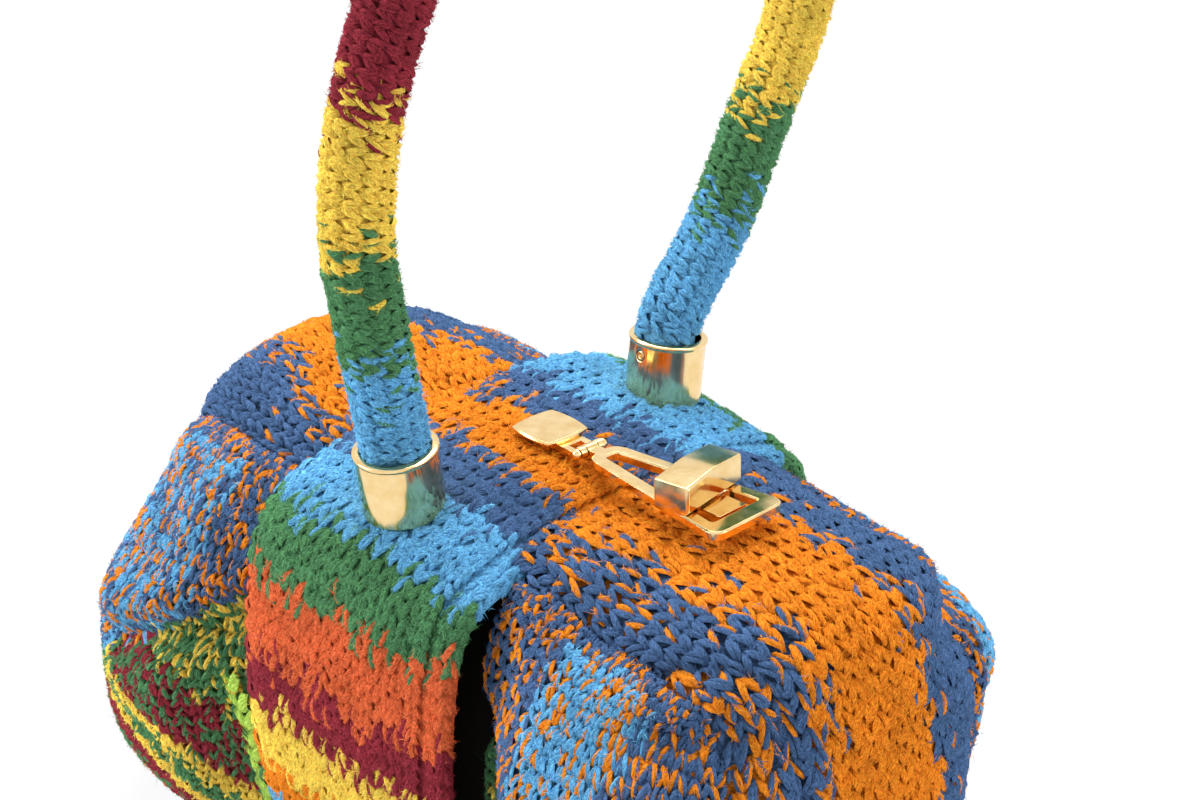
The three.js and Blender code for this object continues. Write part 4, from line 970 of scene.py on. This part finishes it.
def lay_pouch(name):
    """A blunt, creased bag lying along x."""
    turn, reach = np.meshgrid(np.linspace(0, 2 * math.pi, POUCH_COLUMNS, endpoint=False),
                              np.radians(np.linspace(-POUCH_END, POUCH_END, POUCH_ROUNDS)), indexing="ij")
    c, u = np.cos(turn), np.sin(turn)
    section = (np.abs(c) ** POUCH_SQUARE + np.abs(u) ** POUCH_SQUARE) ** (-1 / POUCH_SQUARE)
    section = section * np.cos(reach) ** POUCH_BLUNT
    creases = 1 + np.sin(POUCH_CREASES_ROUND * turn + POUCH_CREASES_ALONG * reach)
    section = section * (1 - POUCH_CREASE * creases)
    points = np.stack([POUCH_HALF_X * np.sin(reach), POUCH_HALF_Y * section * c,
                       (POUCH_LOW + POUCH_HIGH) / 2 + (POUCH_HIGH - POUCH_LOW) / 2 * section * u], -1)
    number = np.arange(turn.size).reshape(turn.shape)
    beside = np.roll(number, -1, 0)
    faces = np.stack([number[:, :-1], beside[:, :-1], beside[:, 1:], number[:, 1:]], -1).reshape(-1, 4)
    uv = np.stack([turn * POUCH_HALF_Y, reach * POUCH_HALF_X], -1).reshape(-1, 2)
    add_mesh(name, points.reshape(-1, 3), faces, uv, np.zeros(len(faces)), [black_lining_painted_shade])


lay_pouch("shade_lining_pouch")

# ---------------------------------------------------------------- fittings
FITTING_FINISH = {"gold_hardware": gold_plate, "steel_hardware": steel, "board": pulp_board, "rope": cotton_rope}
SOFT_EDGE, SHARP_FROM = 0.25, math.radians(32)
for row in frame["record"]["subparts"]:
    finish = FITTING_FINISH.get(row["material_slot"])
    if finish is None:
        continue
    fitting = frame["nodes"][row["node"]]
    fitting.data.materials.clear()
    fitting.data.materials.append(finish)
    fitting.data.polygons.foreach_set("material_index", np.zeros(len(fitting.data.polygons), np.int32))
    fitting.data.polygons.foreach_set("use_smooth", np.ones(len(fitting.data.polygons), bool))
    join = fitting.modifiers.new("joined_facets", "WELD")
    join.merge_threshold = SAME_SPOT * MM
    edge = fitting.modifiers.new("soft_edges", "BEVEL")
    edge.width = SOFT_EDGE * MM
    edge.segments = 2
    edge.limit_method = "ANGLE"
    edge.angle_limit = SHARP_FROM
    edge.harden_normals = False
    level = fitting.modifiers.new("even_shading", "WEIGHTED_NORMAL")
    level.keep_sharp = False

# ---------------------------------------------------------------- studio
# White paper sweep: matt, with the bag's soft shadow kept.
FLOOR_SIZE, FLOOR_Z = 6.0, -0.0004
SWEEP_GLOW = 0.9


def seen_white(tree):
    """1 where the background is looked at, straight, mirrored or through something, and 0 where it gives light."""
    path = add_node(tree, "ShaderNodeLightPath")
    seen = add_node(tree, "ShaderNodeMath", {"operation": "MAXIMUM"},
                    {0: path.outputs["Is Camera Ray"], 1: path.outputs["Is Glossy Ray"]})
    seen = add_node(tree, "ShaderNodeMath", {"operation": "MAXIMUM"},
                    {0: seen.outputs["Value"], 1: path.outputs["Is Transmission Ray"]})
    return seen.outputs["Value"]


def white_sweep():
    finish, tree = new_finish("white_paper_sweep")
    share = add_node(tree, "ShaderNodeMath", {"operation": "MULTIPLY", 1: SWEEP_GLOW}, {0: seen_white(tree)})
    paper = add_node(tree, "ShaderNodeBsdfDiffuse", {"Color": linear("#F7F7F7")})
    glow = add_node(tree, "ShaderNodeEmission", {"Color": (1, 1, 1, 1), "Strength": 1.0})
    both = add_node(tree, "ShaderNodeMixShader", {}, {0: share.outputs["Value"], 1: paper.outputs["BSDF"],
                                                     2: glow.outputs["Emission"]})
    add_node(tree, "ShaderNodeOutputMaterial", {}, {"Surface": both.outputs["Shader"]})
    return finish


sweep_mesh = bpy.data.meshes.new("floor")
half = FLOOR_SIZE / 2
sweep_mesh.from_pydata([(-half, -half, FLOOR_Z), (half, -half, FLOOR_Z), (half, half, FLOOR_Z), (-half, half, FLOOR_Z)],
                       [], [(0, 1, 2, 3)])
sweep_mesh.materials.append(white_sweep())
floor = bpy.data.objects.new("floor", sweep_mesh)
bpy.context.scene.collection.objects.link(floor)

SKY_LEVEL = 0.42
world = bpy.data.worlds.new("studio")
bpy.context.scene.world = world
world.use_nodes = True
room = world.node_tree
room.nodes.clear()
dim = add_node(room, "ShaderNodeBackground", {"Color": (1, 1, 1, 1), "Strength": SKY_LEVEL})
white = add_node(room, "ShaderNodeBackground", {"Color": (1, 1, 1, 1), "Strength": 1.0})
both = add_node(room, "ShaderNodeMixShader", {}, {0: seen_white(room), 1: dim.outputs["Background"],
                                                 2: white.outputs["Background"]})
add_node(room, "ShaderNodeOutputWorld", {}, {"Surface": both.outputs["Shader"]})


def soft_box(name, spot, aim, size, watts):
    lamp = bpy.data.lights.new(name, "AREA")
    lamp.shape = "SQUARE"
    lamp.size = size
    lamp.energy = watts
    holder = bpy.data.objects.new(name, lamp)
    holder.location = spot
    holder.rotation_euler = (Vector(aim) - Vector(spot)).to_track_quat("-Z", "Y").to_euler()
    bpy.context.scene.collection.objects.link(holder)


AIM = (0.0, 0.0, 0.15)
soft_box("top_light", (-0.4, 0.45, 1.6), AIM, 1.3, 35.0)
soft_box("key_light", (-1.0, -1.15, 0.8), AIM, 0.9, 24.0)
soft_box("fill_light", (1.3, 0.5, 0.9), AIM, 1.0, 11.0)
